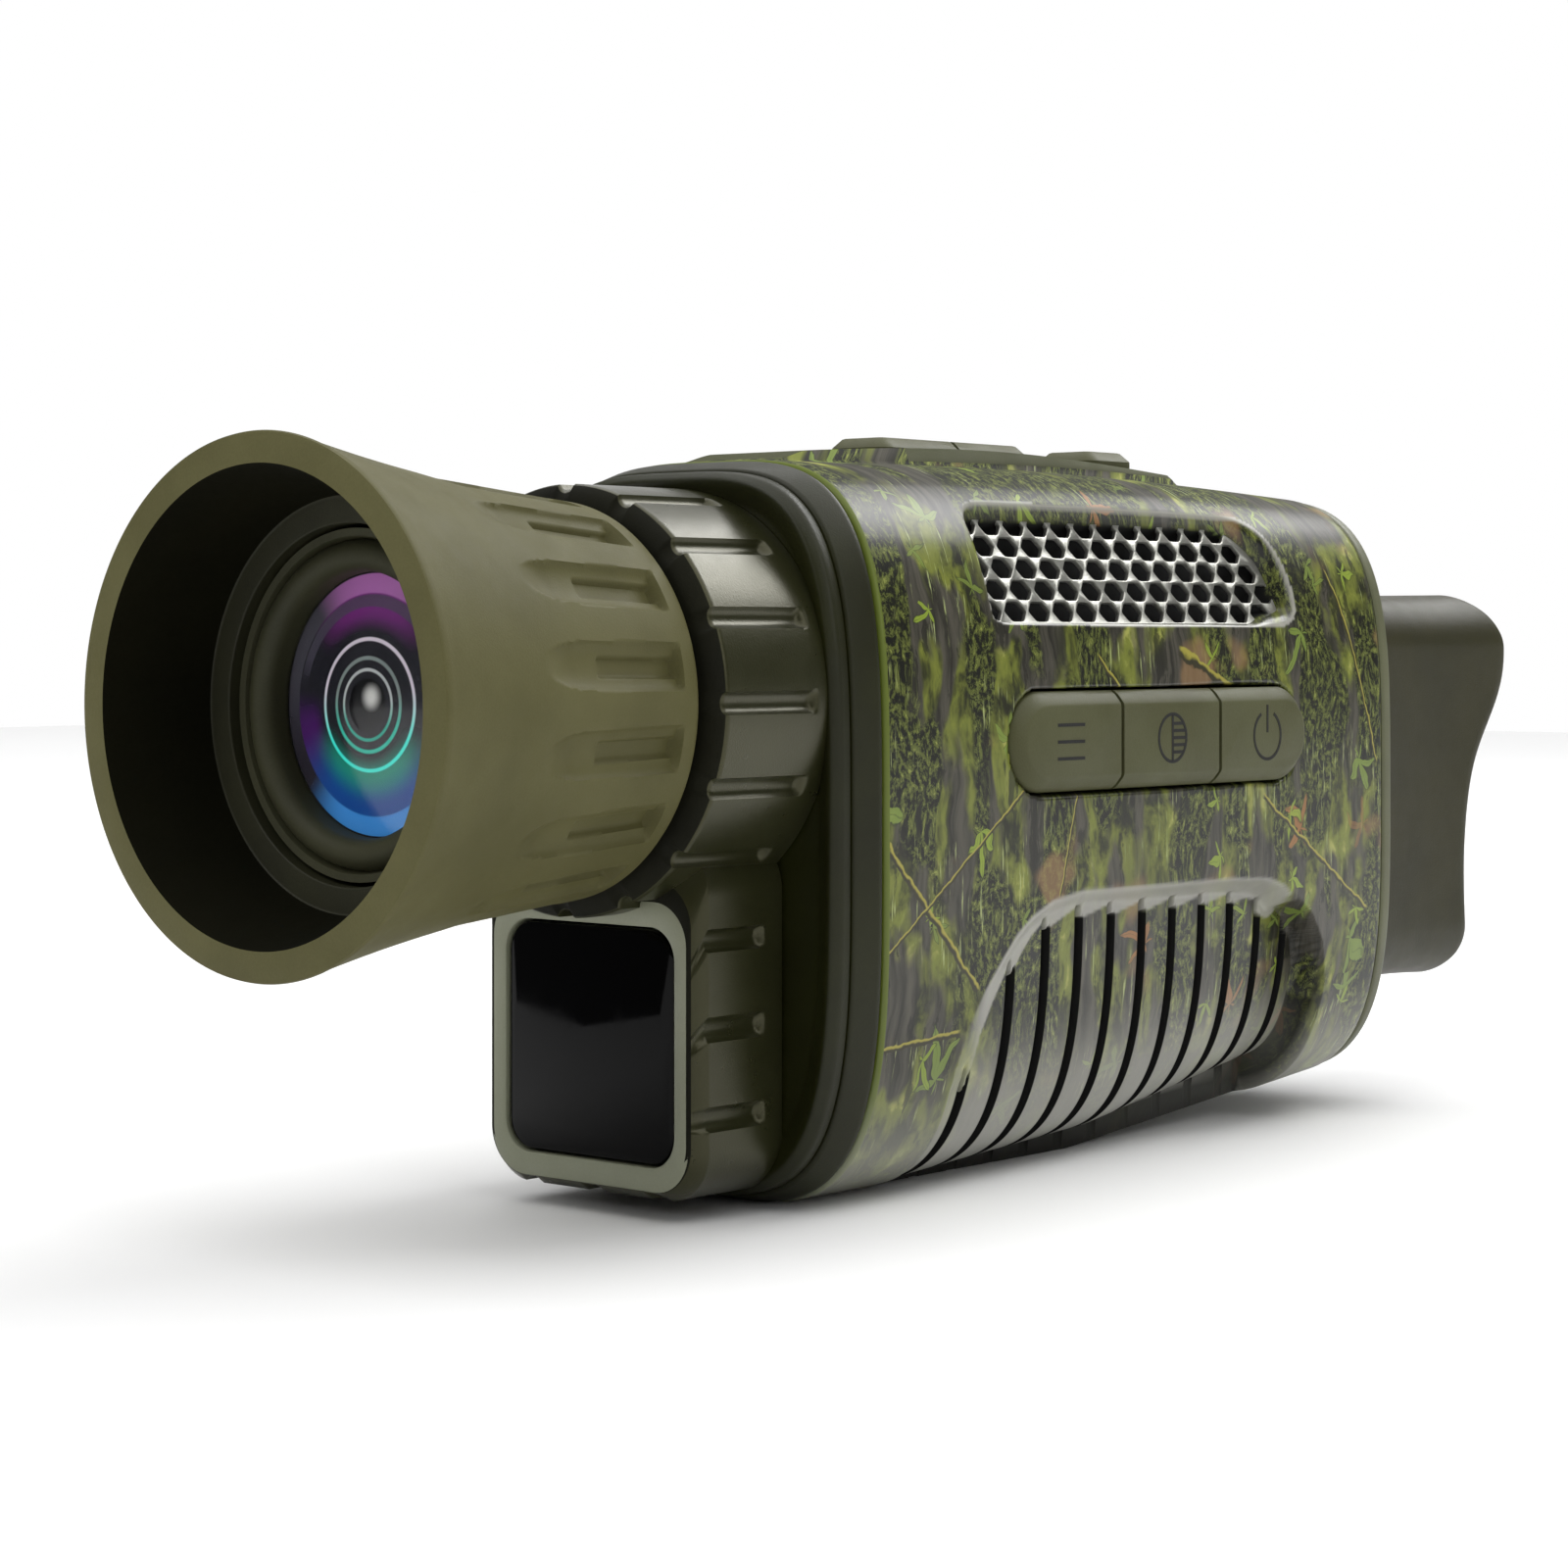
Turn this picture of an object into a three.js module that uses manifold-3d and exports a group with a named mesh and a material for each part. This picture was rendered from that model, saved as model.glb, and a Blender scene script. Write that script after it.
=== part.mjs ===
// Handheld digital night vision monocular with an infrared illuminator.
//
// Millimetres, +Z up. The objective looks along -Y, the eye looks in from +Y, and +X is the side
// with the three control buttons. Everything is built around the optical axis, with Y counted
// rearwards from the front rim, and the whole group is then moved so that the origin is the
// bottom centre of the object's box.

import * as THREE from 'three';
import { mergeVertices } from 'three/addons/utils/BufferGeometryUtils.js';
import Module from 'manifold-3d';

const wasm = await Module();
wasm.setup();

// ---------------------------------------------------------------- driving dimensions

const LENGTH = 184;              // front rim to the brow of the eyecup
const AXIS_HEIGHT = 49;          // optical axis above the base
const GAP = 0.3;                 // clearance between neighbouring pieces

const RIM_RADIUS = 24;           // outer edge of the flared focus hood
const HOOD_KINK_Y = 18.5;        // where the flare meets the grip section
const HOOD_KINK_RADIUS = 20.6;
const HOOD_REAR_Y = 36.4;
const HOOD_REAR_RADIUS = 18.9;
const HOOD_BORE = 16.2;
const HOOD_GROOVES = 16;
const GROOVE_TURN = 12.3;        // degrees from +X down to the first groove
const GROOVE_TILT = 6.4;         // the grooves' floors follow the hood's taper, in degrees
const GROOVE_HEIGHT = 22.0;      // how far out those floors would meet the front rim's plane

const NECK_FRONT_Y = 37.3;
const NECK_REAR_Y = 51.9;
const NECK_RADIUS = 20.6;
const NECK_BORE = 16;
const LAMP_HALF_WIDTH = 14.2;    // illuminator housing below the neck
const LAMP_FRONT_Y = 41.1;
const LAMP_BOTTOM = -47;
const LAMP_CHAMFER = 1.3;

const SHELL_FRONT_Y = 58.1;      // camouflage shell
const SHELL_REAR_Y = 149.5;
const BODY_REAR_Y = 152.6;       // rear face of the rear frame
const BODY_HALF_WIDTH = 23;
const BODY_REAR_NARROWING = 1.2;
const BODY_TOP = 23.5;
const BODY_REAR_DROP = 1.1;      // the roof is this much lower at the tail
const BODY_CROWN = 1.0;          // extra height of the roof near the middle
const BODY_BOTTOM = -49.4;       // lowest point of the full section, before the base is cut flat
const BASE_RISE = 4.2;           // how far the tail lifts off the base
const BASE_RISE_START_Y = 105;
const BODY_EXPONENT = 3.7;       // superellipse exponent of the section
const WALL = 2.4;

const GRIP_SLOTS = 11;
const GRIP_FIRST_Y = 72.6;
const GRIP_PITCH = 6.17;
const GRIP_SLOT_WIDTH = 1.7;
const GRIP_SLOT_DEPTH = 1.5;
const GRIP_INNER_X = 9.5;        // the grip stops here, beside the flat base

const VENT_TILT = THREE.MathUtils.degToRad(21);
const VENT_CENTRE = new THREE.Vector3(19.9, 103.4, 13.6);
const VENT_DEPTH = 1.6;

const KEY_CENTRE_Z = -4.5;       // side buttons
const KEY_HEIGHT = 10.2;
const KEY_FACE_X = 24;
const KEY_EDGES_Y = [77.6, 95.3, 113.2, 131.2];

const DECK_EDGE = 24.3;          // raised deck under the top keys: height at its ends
const DECK_RISE = 1.5;           // and how much higher its middle is
const DECK_HALF_WIDTH = 7;
const DECK_Y = [60, 130];
const TOP_KEY_HALF_WIDTH = 4;
const TOP_KEY_TOP = 26.9;
const TOP_KEY_SPANS = [[80.7, 93.5], [93.8, 106.5], [117, 126]];

const BAY_CENTRE_Z = -4.5;       // recess for the sockets on the -X side
const BAY_Y = [86, 122];
const BAY_HEIGHT = 11;

const EYE_CENTRE_Z = -11.8;
const EYECUP_HALF_WIDTH = 18.8;
const EYECUP_HALF_HEIGHT = 23;
const EYECUP_RADIUS = 6.5;
const EYECUP_WALL = 2.2;

const SCREW_PLACES = [[-14.5, 15], [14.5, 15], [-14, -37.6], [14, -37.6]];

const TRIPOD_Y = 88;             // quarter-inch nut in the base
const TRIPOD_NUT_RADIUS = 5.2;
const TRIPOD_BORE_RADIUS = 3.1;

const BATTERY_RADIUS = 9.1;      // an 18 mm by 65 mm cell in its wrap
const BATTERY_LENGTH = 65;

// ---------------------------------------------------------------- materials

function plastic(colour, roughness, metalness = 0) {
  return new THREE.MeshStandardMaterial({ color: colour, roughness, metalness });
}

const OLIVE = 0x66633f;
const DARK_OLIVE = 0x35371f;
const RUBBER = 0x3e3c26;
const CAMOUFLAGE = 0x74824a;
const GLASS = 0x2a3a4a;
const BLACK = 0x0a0a0b;
const CIRCUIT = 0x1f5a36;
const STEEL = 0xb4b5ae;
const BRASS = 0xb08d3c;

// ---------------------------------------------------------------- solids

// A closed geometry as a manifold solid: only positions, shared corners merged, slivers dropped.
function solidOf(geometry) {
  const bare = geometry.clone();
  bare.deleteAttribute('normal');
  bare.deleteAttribute('uv');
  const merged = mergeVertices(bare, 1e-4);
  const index = merged.index.array;
  const triangles = [];
  for (let i = 0; i < index.length; i += 3) {
    const [a, b, c] = [index[i], index[i + 1], index[i + 2]];
    const isSliver = a === b || b === c || c === a;
    if (!isSliver) {
      triangles.push(a, b, c);
    }
  }
  return new wasm.Manifold(new wasm.Mesh({
    numProp: 3,
    vertProperties: new Float32Array(merged.attributes.position.array),
    triVerts: new Uint32Array(triangles),
  }));
}

function geometryOf(solid) {
  const mesh = solid.getMesh();
  const geometry = new THREE.BufferGeometry();
  geometry.setAttribute('position', new THREE.BufferAttribute(mesh.vertProperties, 3));
  geometry.setIndex(new THREE.BufferAttribute(mesh.triVerts, 1));
  geometry.computeVertexNormals();
  return geometry;
}

function joined(solids) {
  return solids.reduce((sum, solid) => sum.add(solid));
}

function box(x0, x1, y0, y1, z0, z1) {
  const geometry = new THREE.BoxGeometry(x1 - x0, y1 - y0, z1 - z0);
  geometry.translate((x0 + x1) / 2, (y0 + y1) / 2, (z0 + z1) / 2);
  return solidOf(geometry);
}

// A closed loop of [radius, y] points turned about the line x = 0, z = centreZ. A disc or a plug
// has its first and last points on that line.
function revolved(loop, segments = 36, centreZ = 0) {
  const points = [...loop, loop[0]].map(([radius, y]) => new THREE.Vector2(radius, y));
  if (THREE.ShapeUtils.area(points) < 0) points.reverse();
  const geometry = new THREE.LatheGeometry(points, segments);
  geometry.translate(0, 0, centreZ);
  return solidOf(geometry);
}

const EXTRUDE = { bevelEnabled: false, curveSegments: 4 };

// Shape in X and Z, swept from y0 to y1.
function alongY(shape, y0, y1, steps = 1) {
  const geometry = new THREE.ExtrudeGeometry(shape, { ...EXTRUDE, depth: y1 - y0, steps });
  geometry.rotateX(Math.PI / 2);
  geometry.translate(0, y1, 0);
  return geometry;
}

// Shape in Y and Z, swept from x0 to x1.
function alongX(shape, x0, x1) {
  const geometry = new THREE.ExtrudeGeometry(shape, { ...EXTRUDE, depth: x1 - x0 });
  geometry.applyMatrix4(new THREE.Matrix4().makeBasis(
    new THREE.Vector3(0, 1, 0),
    new THREE.Vector3(0, 0, 1),
    new THREE.Vector3(1, 0, 0),
  ));
  geometry.translate(x0, 0, 0);
  return geometry;
}

// Shape in X and Y, swept from z0 to z1.
function alongZ(shape, z0, z1) {
  const geometry = new THREE.ExtrudeGeometry(shape, { ...EXTRUDE, depth: z1 - z0 });
  geometry.translate(0, 0, z0);
  return geometry;
}

function polygon(points) {
  return new THREE.Shape(points.map(([a, b]) => new THREE.Vector2(a, b)));
}

function roundedRectangle(a0, a1, b0, b1, radius) {
  const shape = new THREE.Shape();
  shape.moveTo(a0 + radius, b0);
  shape.lineTo(a1 - radius, b0);
  shape.absarc(a1 - radius, b0 + radius, radius, -Math.PI / 2, 0);
  shape.lineTo(a1, b1 - radius);
  shape.absarc(a1 - radius, b1 - radius, radius, 0, Math.PI / 2);
  shape.lineTo(a0 + radius, b1);
  shape.absarc(a0 + radius, b1 - radius, radius, Math.PI / 2, Math.PI);
  shape.lineTo(a0, b0 + radius);
  shape.absarc(a0 + radius, b0 + radius, radius, Math.PI, 1.5 * Math.PI);
  return shape;
}

// ---------------------------------------------------------------- body section

// Half width, half height and centre height of the body at a place along its length.
function bodySection(y) {
  const t = (y - SHELL_FRONT_Y) / (BODY_REAR_Y - SHELL_FRONT_Y);
  const along = THREE.MathUtils.clamp(t, 0, 1);
  const rise = Math.max(0, y - BASE_RISE_START_Y) / (BODY_REAR_Y - BASE_RISE_START_Y);
  const top = BODY_TOP - BODY_REAR_DROP * along + BODY_CROWN * Math.sin(Math.PI * along);
  const bottom = BODY_BOTTOM + BASE_RISE * rise;
  return {
    halfWidth: BODY_HALF_WIDTH - BODY_REAR_NARROWING * along * along,
    halfHeight: (top - bottom) / 2,
    centre: (top + bottom) / 2,
  };
}

// A length of the body section, drawn in from its surface by inset(y).
function bodyBlock(y0, y1, inset, steps = 6) {
  const corners = 36;
  const unit = [];
  for (let i = 0; i < corners; i += 1) {
    const angle = (2 * Math.PI * i) / corners;
    const power = 2 / BODY_EXPONENT;
    const [c, s] = [Math.cos(angle), Math.sin(angle)];
    unit.push([Math.sign(c) * Math.abs(c) ** power, Math.sign(s) * Math.abs(s) ** power]);
  }
  const geometry = alongY(polygon(unit), y0, y1, steps);
  const position = geometry.attributes.position;
  for (let i = 0; i < position.count; i += 1) {
    const y = position.getY(i);
    const { halfWidth, halfHeight, centre } = bodySection(y);
    position.setX(i, position.getX(i) * (halfWidth - inset(y)));
    position.setZ(i, position.getZ(i) * (halfHeight - inset(y)) + centre);
  }
  return solidOf(geometry);
}

const BASE_CUT = box(-60, 60, -10, LENGTH + 10, -80, -AXIS_HEIGHT);

// ---------------------------------------------------------------- assembly

const part = new THREE.Group();
const optics = new THREE.Group();
optics.position.set(0, -LENGTH / 2, AXIS_HEIGHT);
part.add(optics);

function add(name, solid, material) {
  const mesh = new THREE.Mesh(geometryOf(solid), material);
  mesh.name = name;
  optics.add(mesh);
}

// ---------------------------------------------------------------- focus hood and lens

const FUNNEL_END_Y = 10.6;

function focusHood() {
  let hood = revolved([
    [RIM_RADIUS - 0.3, 0],
    [RIM_RADIUS, 0.3],
    [22.2, 9.5],
    [HOOD_KINK_RADIUS, HOOD_KINK_Y],
    [HOOD_REAR_RADIUS, HOOD_REAR_Y],
    [HOOD_BORE, HOOD_REAR_Y],
    [HOOD_BORE, FUNNEL_END_Y],
    [18.7, FUNNEL_END_Y],
    [21.4, 0],
  ], 48);
  // Bullet-shaped finger grooves, rounded in front and square at the back.
  const groove = new THREE.Shape();
  const [tipY, endY, half] = [14.6, 34.2, 2.1];
  groove.moveTo(-half, endY);
  groove.lineTo(-half, tipY + 2 * half);
  groove.quadraticCurveTo(-half * 0.9, tipY + half * 0.6, 0, tipY);
  groove.quadraticCurveTo(half * 0.9, tipY + half * 0.6, half, tipY + 2 * half);
  groove.lineTo(half, endY);
  const cutter = alongZ(groove, 0, 6);
  cutter.rotateX(THREE.MathUtils.degToRad(-GROOVE_TILT));
  cutter.translate(0, 0, GROOVE_HEIGHT);
  for (let i = 0; i < HOOD_GROOVES; i += 1) {
    const turn = GROOVE_TURN + (i * 360) / HOOD_GROOVES;
    const placed = cutter.clone().rotateY(THREE.MathUtils.degToRad(turn + 90));
    hood = hood.subtract(solidOf(placed));
  }
  return hood;
}

function lensCell() {
  const flange = 15.8;
  const tube = 13.5;
  return revolved([
    [flange, 11],
    [flange, 16.5],
    [tube, 16.5],
    [tube, 38],
    [9, 38],
    [9, 31],
    [10.4, 31],
    [10.4, 18.4],
    [12.6, 18.4],
    [12.6, 12],
    [14.2, 12],
    [14.2, 11],
  ]);
}

function frontLens() {
  const [radius, edgeY, sag, rearY] = [12.2, 14.9, 2.4, 17.8];
  const outline = [];
  for (let i = 0; i <= 6; i += 1) {
    const r = (radius * i) / 6;
    outline.push([r, edgeY - sag * (1 - (r / radius) ** 2)]);
  }
  return revolved([...outline, [radius, rearY], [0, rearY]], 36);
}

function lensRetainer() {
  return revolved([[12.3, 12.3], [12.3, 14.5], [11.6, 14.2], [11.2, 12.9], [11.4, 12.3]]);
}

function rearLens() {
  return revolved([[0, 24.6], [5, 25], [10.1, 26], [10.1, 29], [5, 30.2], [0, 30.6]], 24);
}

function guideBarrel() {
  return revolved([
    [15.7, 20.2],
    [15.7, 32.6],
    [14.8, 32.6],
    [14.8, 34.4],
    [15.7, 34.4],
    [15.7, 50],
    [13.9, 50],
    [13.9, 20.2],
  ]);
}

function focusSeal() {
  const ring = new THREE.TorusGeometry(15.4, 0.5, 6, 36);
  ring.rotateX(Math.PI / 2);
  ring.translate(0, 33.5, 0);
  return solidOf(ring);
}

// ---------------------------------------------------------------- front housing

// Outline of the neck circle flowing into the illuminator housing below it.
function housingOutline(neckRadius, halfWidth, bottom, corner, fillet) {
  const filletX = halfWidth + fillet;
  const filletZ = -Math.sqrt((neckRadius + fillet) ** 2 - filletX ** 2);
  const meet = Math.atan2(filletZ, filletX);
  const shape = new THREE.Shape();
  shape.absarc(0, 0, neckRadius, meet, Math.PI - meet);
  shape.absarc(-filletX, filletZ, fillet, -meet, 0, true);
  shape.lineTo(-halfWidth, bottom + corner);
  shape.absarc(-halfWidth + corner, bottom + corner, corner, Math.PI, 1.5 * Math.PI);
  shape.lineTo(halfWidth - corner, bottom);
  shape.absarc(halfWidth - corner, bottom + corner, corner, -Math.PI / 2, 0);
  shape.lineTo(halfWidth, filletZ);
  shape.absarc(filletX, filletZ, fillet, Math.PI, Math.PI + meet, true);
  return shape;
}

function frontHousing() {
  const lampRear = LAMP_FRONT_Y + LAMP_CHAMFER;
  const outline = housingOutline(NECK_RADIUS, LAMP_HALF_WIDTH, LAMP_BOTTOM, 5, 4);
  const neck = revolved([
    [NECK_RADIUS - 1.6, NECK_FRONT_Y],
    [NECK_RADIUS - 0.3, NECK_FRONT_Y + 0.8],
    [NECK_RADIUS, lampRear + 1],
    [0, lampRear + 1],
    [0, NECK_FRONT_Y],
  ], 48);
  // The box's front edge is chamfered: its front outline is smaller than the one behind it.
  const lamp = alongY(
    roundedRectangle(-LAMP_HALF_WIDTH, LAMP_HALF_WIDTH, LAMP_BOTTOM, -12, 5),
    LAMP_FRONT_Y,
    lampRear + 1,
    2,
  );
  const position = lamp.attributes.position;
  const middle = (LAMP_BOTTOM - 12) / 2;
  const shrinkX = 1 - LAMP_CHAMFER / LAMP_HALF_WIDTH;
  const shrinkZ = 1 - 1.9 / (middle - LAMP_BOTTOM);
  for (let i = 0; i < position.count; i += 1) {
    const y = position.getY(i);
    const isFront = y < LAMP_FRONT_Y + 0.01;
    const isRear = y > lampRear + 0.9;
    if (isFront) {
      position.setX(i, position.getX(i) * shrinkX);
      position.setZ(i, middle + (position.getZ(i) - middle) * shrinkZ);
    } else if (!isRear) {
      position.setY(i, lampRear);
    }
  }
  let housing = joined([
    neck,
    solidOf(lamp),
    solidOf(alongY(outline, lampRear + 0.5, NECK_REAR_Y)),
  ]);
  const bore = revolved([[0, 30], [NECK_BORE, 30], [NECK_BORE, 60], [0, 60]], 36);
  const lampFront = roundedRectangle(-12.7, 12.7, -45.8, -18.9, 4.2);
  const lampBack = roundedRectangle(-12.7, 12.7, -45.8, -19.4, 4.2);
  housing = housing.subtract(bore);
  housing = housing.subtract(solidOf(alongY(lampFront, 30, 44)));
  housing = housing.subtract(solidOf(alongY(lampBack, 43, 60)));
  // Fine half-round flutes along the neck and across the lamp's sides.
  const flute = (x, z, y0) => {
    const rod = new THREE.CylinderGeometry(0.55, 0.55, 30, 6);
    rod.translate(x, y0 + 15, z);
    return solidOf(rod);
  };
  const flutes = [];
  for (let i = -2; i <= 10; i += 1) {
    const angle = (i * Math.PI) / 8;
    flutes.push(flute(NECK_RADIUS * Math.cos(angle), NECK_RADIUS * Math.sin(angle), 30));
  }
  for (const z of [-22.3, -30.6, -39]) {
    flutes.push(flute(LAMP_HALF_WIDTH, z, 42));
    flutes.push(flute(-LAMP_HALF_WIDTH, z, 42));
  }
  for (const x of [-8.5, 0, 8.5]) {
    flutes.push(flute(x, LAMP_BOTTOM, 42));
  }
  return housing.subtract(joined(flutes));
}

function lampBezel() {
  const outer = roundedRectangle(-12.4, 12.4, -45.5, -19.2, 4);
  outer.holes.push(roundedRectangle(-11.2, 11.2, -43.9, -21.2, 3));
  return solidOf(alongY(outer, LAMP_FRONT_Y, LAMP_FRONT_Y + 2));
}

function lampWindow() {
  return solidOf(alongY(roundedRectangle(-10.9, 10.9, -43.6, -21.5, 2.7), 41.5, 43));
}

const LAMP_CENTRE_Z = -32.5;

function lampLens() {
  return revolved([[0, 43.8], [4, 44.3], [6.5, 45.4], [6.5, 46.4], [0, 46.4]], 24, LAMP_CENTRE_Z);
}

function lampLed() {
  return revolved([[0, 46.9], [1.6, 47.3], [2.4, 48.6], [2.4, 49.2], [0, 49.2]], 16, LAMP_CENTRE_Z);
}

function lampBoard() {
  return solidOf(alongY(roundedRectangle(-12, 12, -45, -20, 3), 49.6, 51.2));
}

function frontCap() {
  const plate = bodyBlock(52.2, 54.2, () => 1.3, 1);
  const tenon = bodyBlock(54, 57.8, () => 3.8, 1);
  const lightPath = revolved([[0, 50], [11, 50], [11, 60], [0, 60]], 24);
  const wireHole = revolved([[0, 50], [3, 50], [3, 60], [0, 60]], 16, LAMP_CENTRE_Z);
  return plate.add(tenon).subtract(lightPath).subtract(wireHole).subtract(BASE_CUT);
}

function trimRing() {
  const slope = (y) => 0.1 + (0.9 * (SHELL_FRONT_Y - y)) / 3.7;
  const outer = bodyBlock(54.5, SHELL_FRONT_Y - GAP, slope, 1);
  return outer.subtract(bodyBlock(50, 60, () => 3.5, 1)).subtract(BASE_CUT);
}

// ---------------------------------------------------------------- main shell

// Outline of the vent in the plane of its panel: Y along the body, and height up the panel.
function ventOutline(inset) {
  const half = 6.7 - inset;
  const shape = new THREE.Shape();
  shape.moveTo(-27.5 + inset, -half + 0.6);
  shape.quadraticCurveTo(-26.6 + inset, -half, -24, -half);
  shape.lineTo(24, -half);
  shape.quadraticCurveTo(29 - inset, -half, 28.7 - inset, -half + 3);
  shape.quadraticCurveTo(28 - inset, half - 1.2, 22, half - 0.3);
  shape.quadraticCurveTo(10, half, 0, half);
  shape.lineTo(-24, half);
  shape.quadraticCurveTo(-28 + inset, half, -28.4 + inset, half - 3);
  return shape;
}

// Sweeps a shape drawn on the vent panel along the panel's normal, from depth d0 to d1.
function onVentPanel(shape, d0, d1) {
  const geometry = alongX(shape, d0, d1);
  geometry.rotateY(-VENT_TILT);
  geometry.translate(VENT_CENTRE.x, VENT_CENTRE.y, VENT_CENTRE.z);
  return solidOf(geometry);
}

// Side view of the grip, from the ledge down past the base.
function gripOutline(drop) {
  return polygon([
    [71, -60],
    [70.5, -34 - drop],
    [71.5, -28.6 - drop],
    [74.5, -25 - drop],
    [78.5, -22 - drop],
    [82.5, -20.5 - drop],
    [88, -19.8 - drop],
    [119, -20.2 - drop],
    [125, -21.2 - drop],
    [130, -23.4 - drop],
    [133.6, -26.8],
    [135.6, -30.4],
    [135.4, -33.8],
    [132, -38.5],
    [126, -60],
  ]);
}

function gripDepth(y) {
  return 0.1 + 2.8 * THREE.MathUtils.clamp((y - 71) / 62, 0, 1);
}

function gripCut(side) {
  const [x0, x1] = side > 0 ? [GRIP_INNER_X, 40] : [-40, -GRIP_INNER_X];
  const recess = solidOf(alongX(gripOutline(1.2), x0, x1))
    .subtract(bodyBlock(60, 145, gripDepth, 3));
  const slots = [];
  for (let i = 0; i < GRIP_SLOTS; i += 1) {
    const y = GRIP_FIRST_Y + i * GRIP_PITCH;
    slots.push(box(x0, x1, y - GRIP_SLOT_WIDTH / 2, y + GRIP_SLOT_WIDTH / 2, -60, -10));
  }
  const grooves = joined(slots)
    .intersect(solidOf(alongX(gripOutline(2.8), x0, x1)))
    .subtract(bodyBlock(60, 145, (y) => gripDepth(y) + GRIP_SLOT_DEPTH, 2));
  return recess.add(grooves);
}

function stadium(y0, y1, centreZ, height) {
  return roundedRectangle(y0, y1, centreZ - height / 2, centreZ + height / 2, height / 2 - 0.05);
}

// Side view of the raised deck, a shallow arch over the roof.
function deckProfile() {
  const [y0, y1] = DECK_Y;
  const points = [[y1, 15], [y0, 15]];
  for (let i = 0; i <= 8; i += 1) {
    const t = i / 8;
    points.push([y0 + t * (y1 - y0), DECK_EDGE + DECK_RISE * Math.sin(Math.PI * t)]);
  }
  return polygon(points.reverse());
}

function mainShell() {
  let shell = bodyBlock(SHELL_FRONT_Y, SHELL_REAR_Y, () => 0);
  shell = shell.add(solidOf(alongX(deckProfile(), -DECK_HALF_WIDTH, DECK_HALF_WIDTH)));
  shell = shell.subtract(BASE_CUT);
  // The cavity keeps thick walls behind the grips and behind the vent.
  let cavity = bodyBlock(50, 155, () => WALL, 3);
  const gripBacking = (y) => gripDepth(y) + GRIP_SLOT_DEPTH + 1.6;
  const behindGrips = box(-40, 40, 66, 139, -60, -17);
  cavity = cavity.subtract(behindGrips.subtract(bodyBlock(60, 145, gripBacking, 2)));
  cavity = cavity.subtract(onVentPanel(ventOutline(-1.6), -3.6, 20));
  shell = shell.subtract(cavity);
  for (const [x, z] of SCREW_PLACES) {
    const boss = revolved([[0, 140], [3, 140], [3, SHELL_REAR_Y], [0, SHELL_REAR_Y]], 12);
    const pilot = revolved([[0, 144.8], [1.1, 144.8], [1.1, 160], [0, 160]], 12);
    shell = shell.add(boss.translate([x, 0, z])).subtract(pilot.translate([x, 0, z]));
  }
  shell = shell.subtract(gripCut(1)).subtract(gripCut(-1));
  // Vent recess, and the window behind it that the mesh covers.
  shell = shell.subtract(onVentPanel(ventOutline(0), -VENT_DEPTH - 1, 10));
  shell = shell.subtract(onVentPanel(ventOutline(2.2), -8, 10));
  // Openings for the side buttons, the top keys, the sockets and the tripod nut.
  const [keyY0, keyY1] = [KEY_EDGES_Y[0] - GAP, KEY_EDGES_Y[3] + GAP];
  shell = shell.subtract(solidOf(
    alongX(stadium(keyY0, keyY1, KEY_CENTRE_Z, KEY_HEIGHT + 2 * GAP), 15, 30),
  ));
  for (const [y0, y1] of [[TOP_KEY_SPANS[0][0], TOP_KEY_SPANS[1][1]], TOP_KEY_SPANS[2]]) {
    const width = TOP_KEY_HALF_WIDTH + GAP;
    const hole = roundedRectangle(-width, width, y0 - GAP, y1 + GAP, 2.2);
    shell = shell.subtract(solidOf(alongZ(hole, 15, 30)));
  }
  const bay = stadium(BAY_Y[0], BAY_Y[1], BAY_CENTRE_Z, BAY_HEIGHT);
  shell = shell.subtract(solidOf(alongX(bay, -30, -15)));
  const flap = stadium(BAY_Y[0] - 2.4, BAY_Y[1] + 2.4, BAY_CENTRE_Z, BAY_HEIGHT + 4.8);
  shell = shell.subtract(solidOf(alongX(flap, -30, -21.1)));
  const nutSize = TRIPOD_NUT_RADIUS + GAP;
  const nutHole = new THREE.CylinderGeometry(nutSize, nutSize, 20, 24);
  nutHole.rotateX(Math.PI / 2);
  nutHole.translate(0, TRIPOD_Y, -AXIS_HEIGHT);
  return shell.subtract(solidOf(nutHole));
}

function ventMesh() {
  const sheet = onVentPanel(ventOutline(GAP), -VENT_DEPTH - 0.7, -VENT_DEPTH);
  const holes = [];
  const [rows, columns, pitch] = [5, 13, 4];
  const rowPitch = 2.35;
  for (let row = 0; row < rows; row += 1) {
    for (let column = 0; column < columns; column += 1) {
      const stagger = row % 2 ? 0.5 : 0;
      const y = (column + stagger - (columns - 0.5) / 2) * pitch;
      const z = (row - (rows - 1) / 2) * rowPitch;
      const hexagon = [];
      for (let corner = 0; corner < 6; corner += 1) {
        const angle = (corner * Math.PI) / 3;
        hexagon.push([y + 1.45 * Math.cos(angle), z + 0.95 * Math.sin(angle)]);
      }
      holes.push(onVentPanel(polygon(hexagon), -5, 0));
    }
  }
  return sheet.subtract(joined(holes));
}

// ---------------------------------------------------------------- buttons

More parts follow.
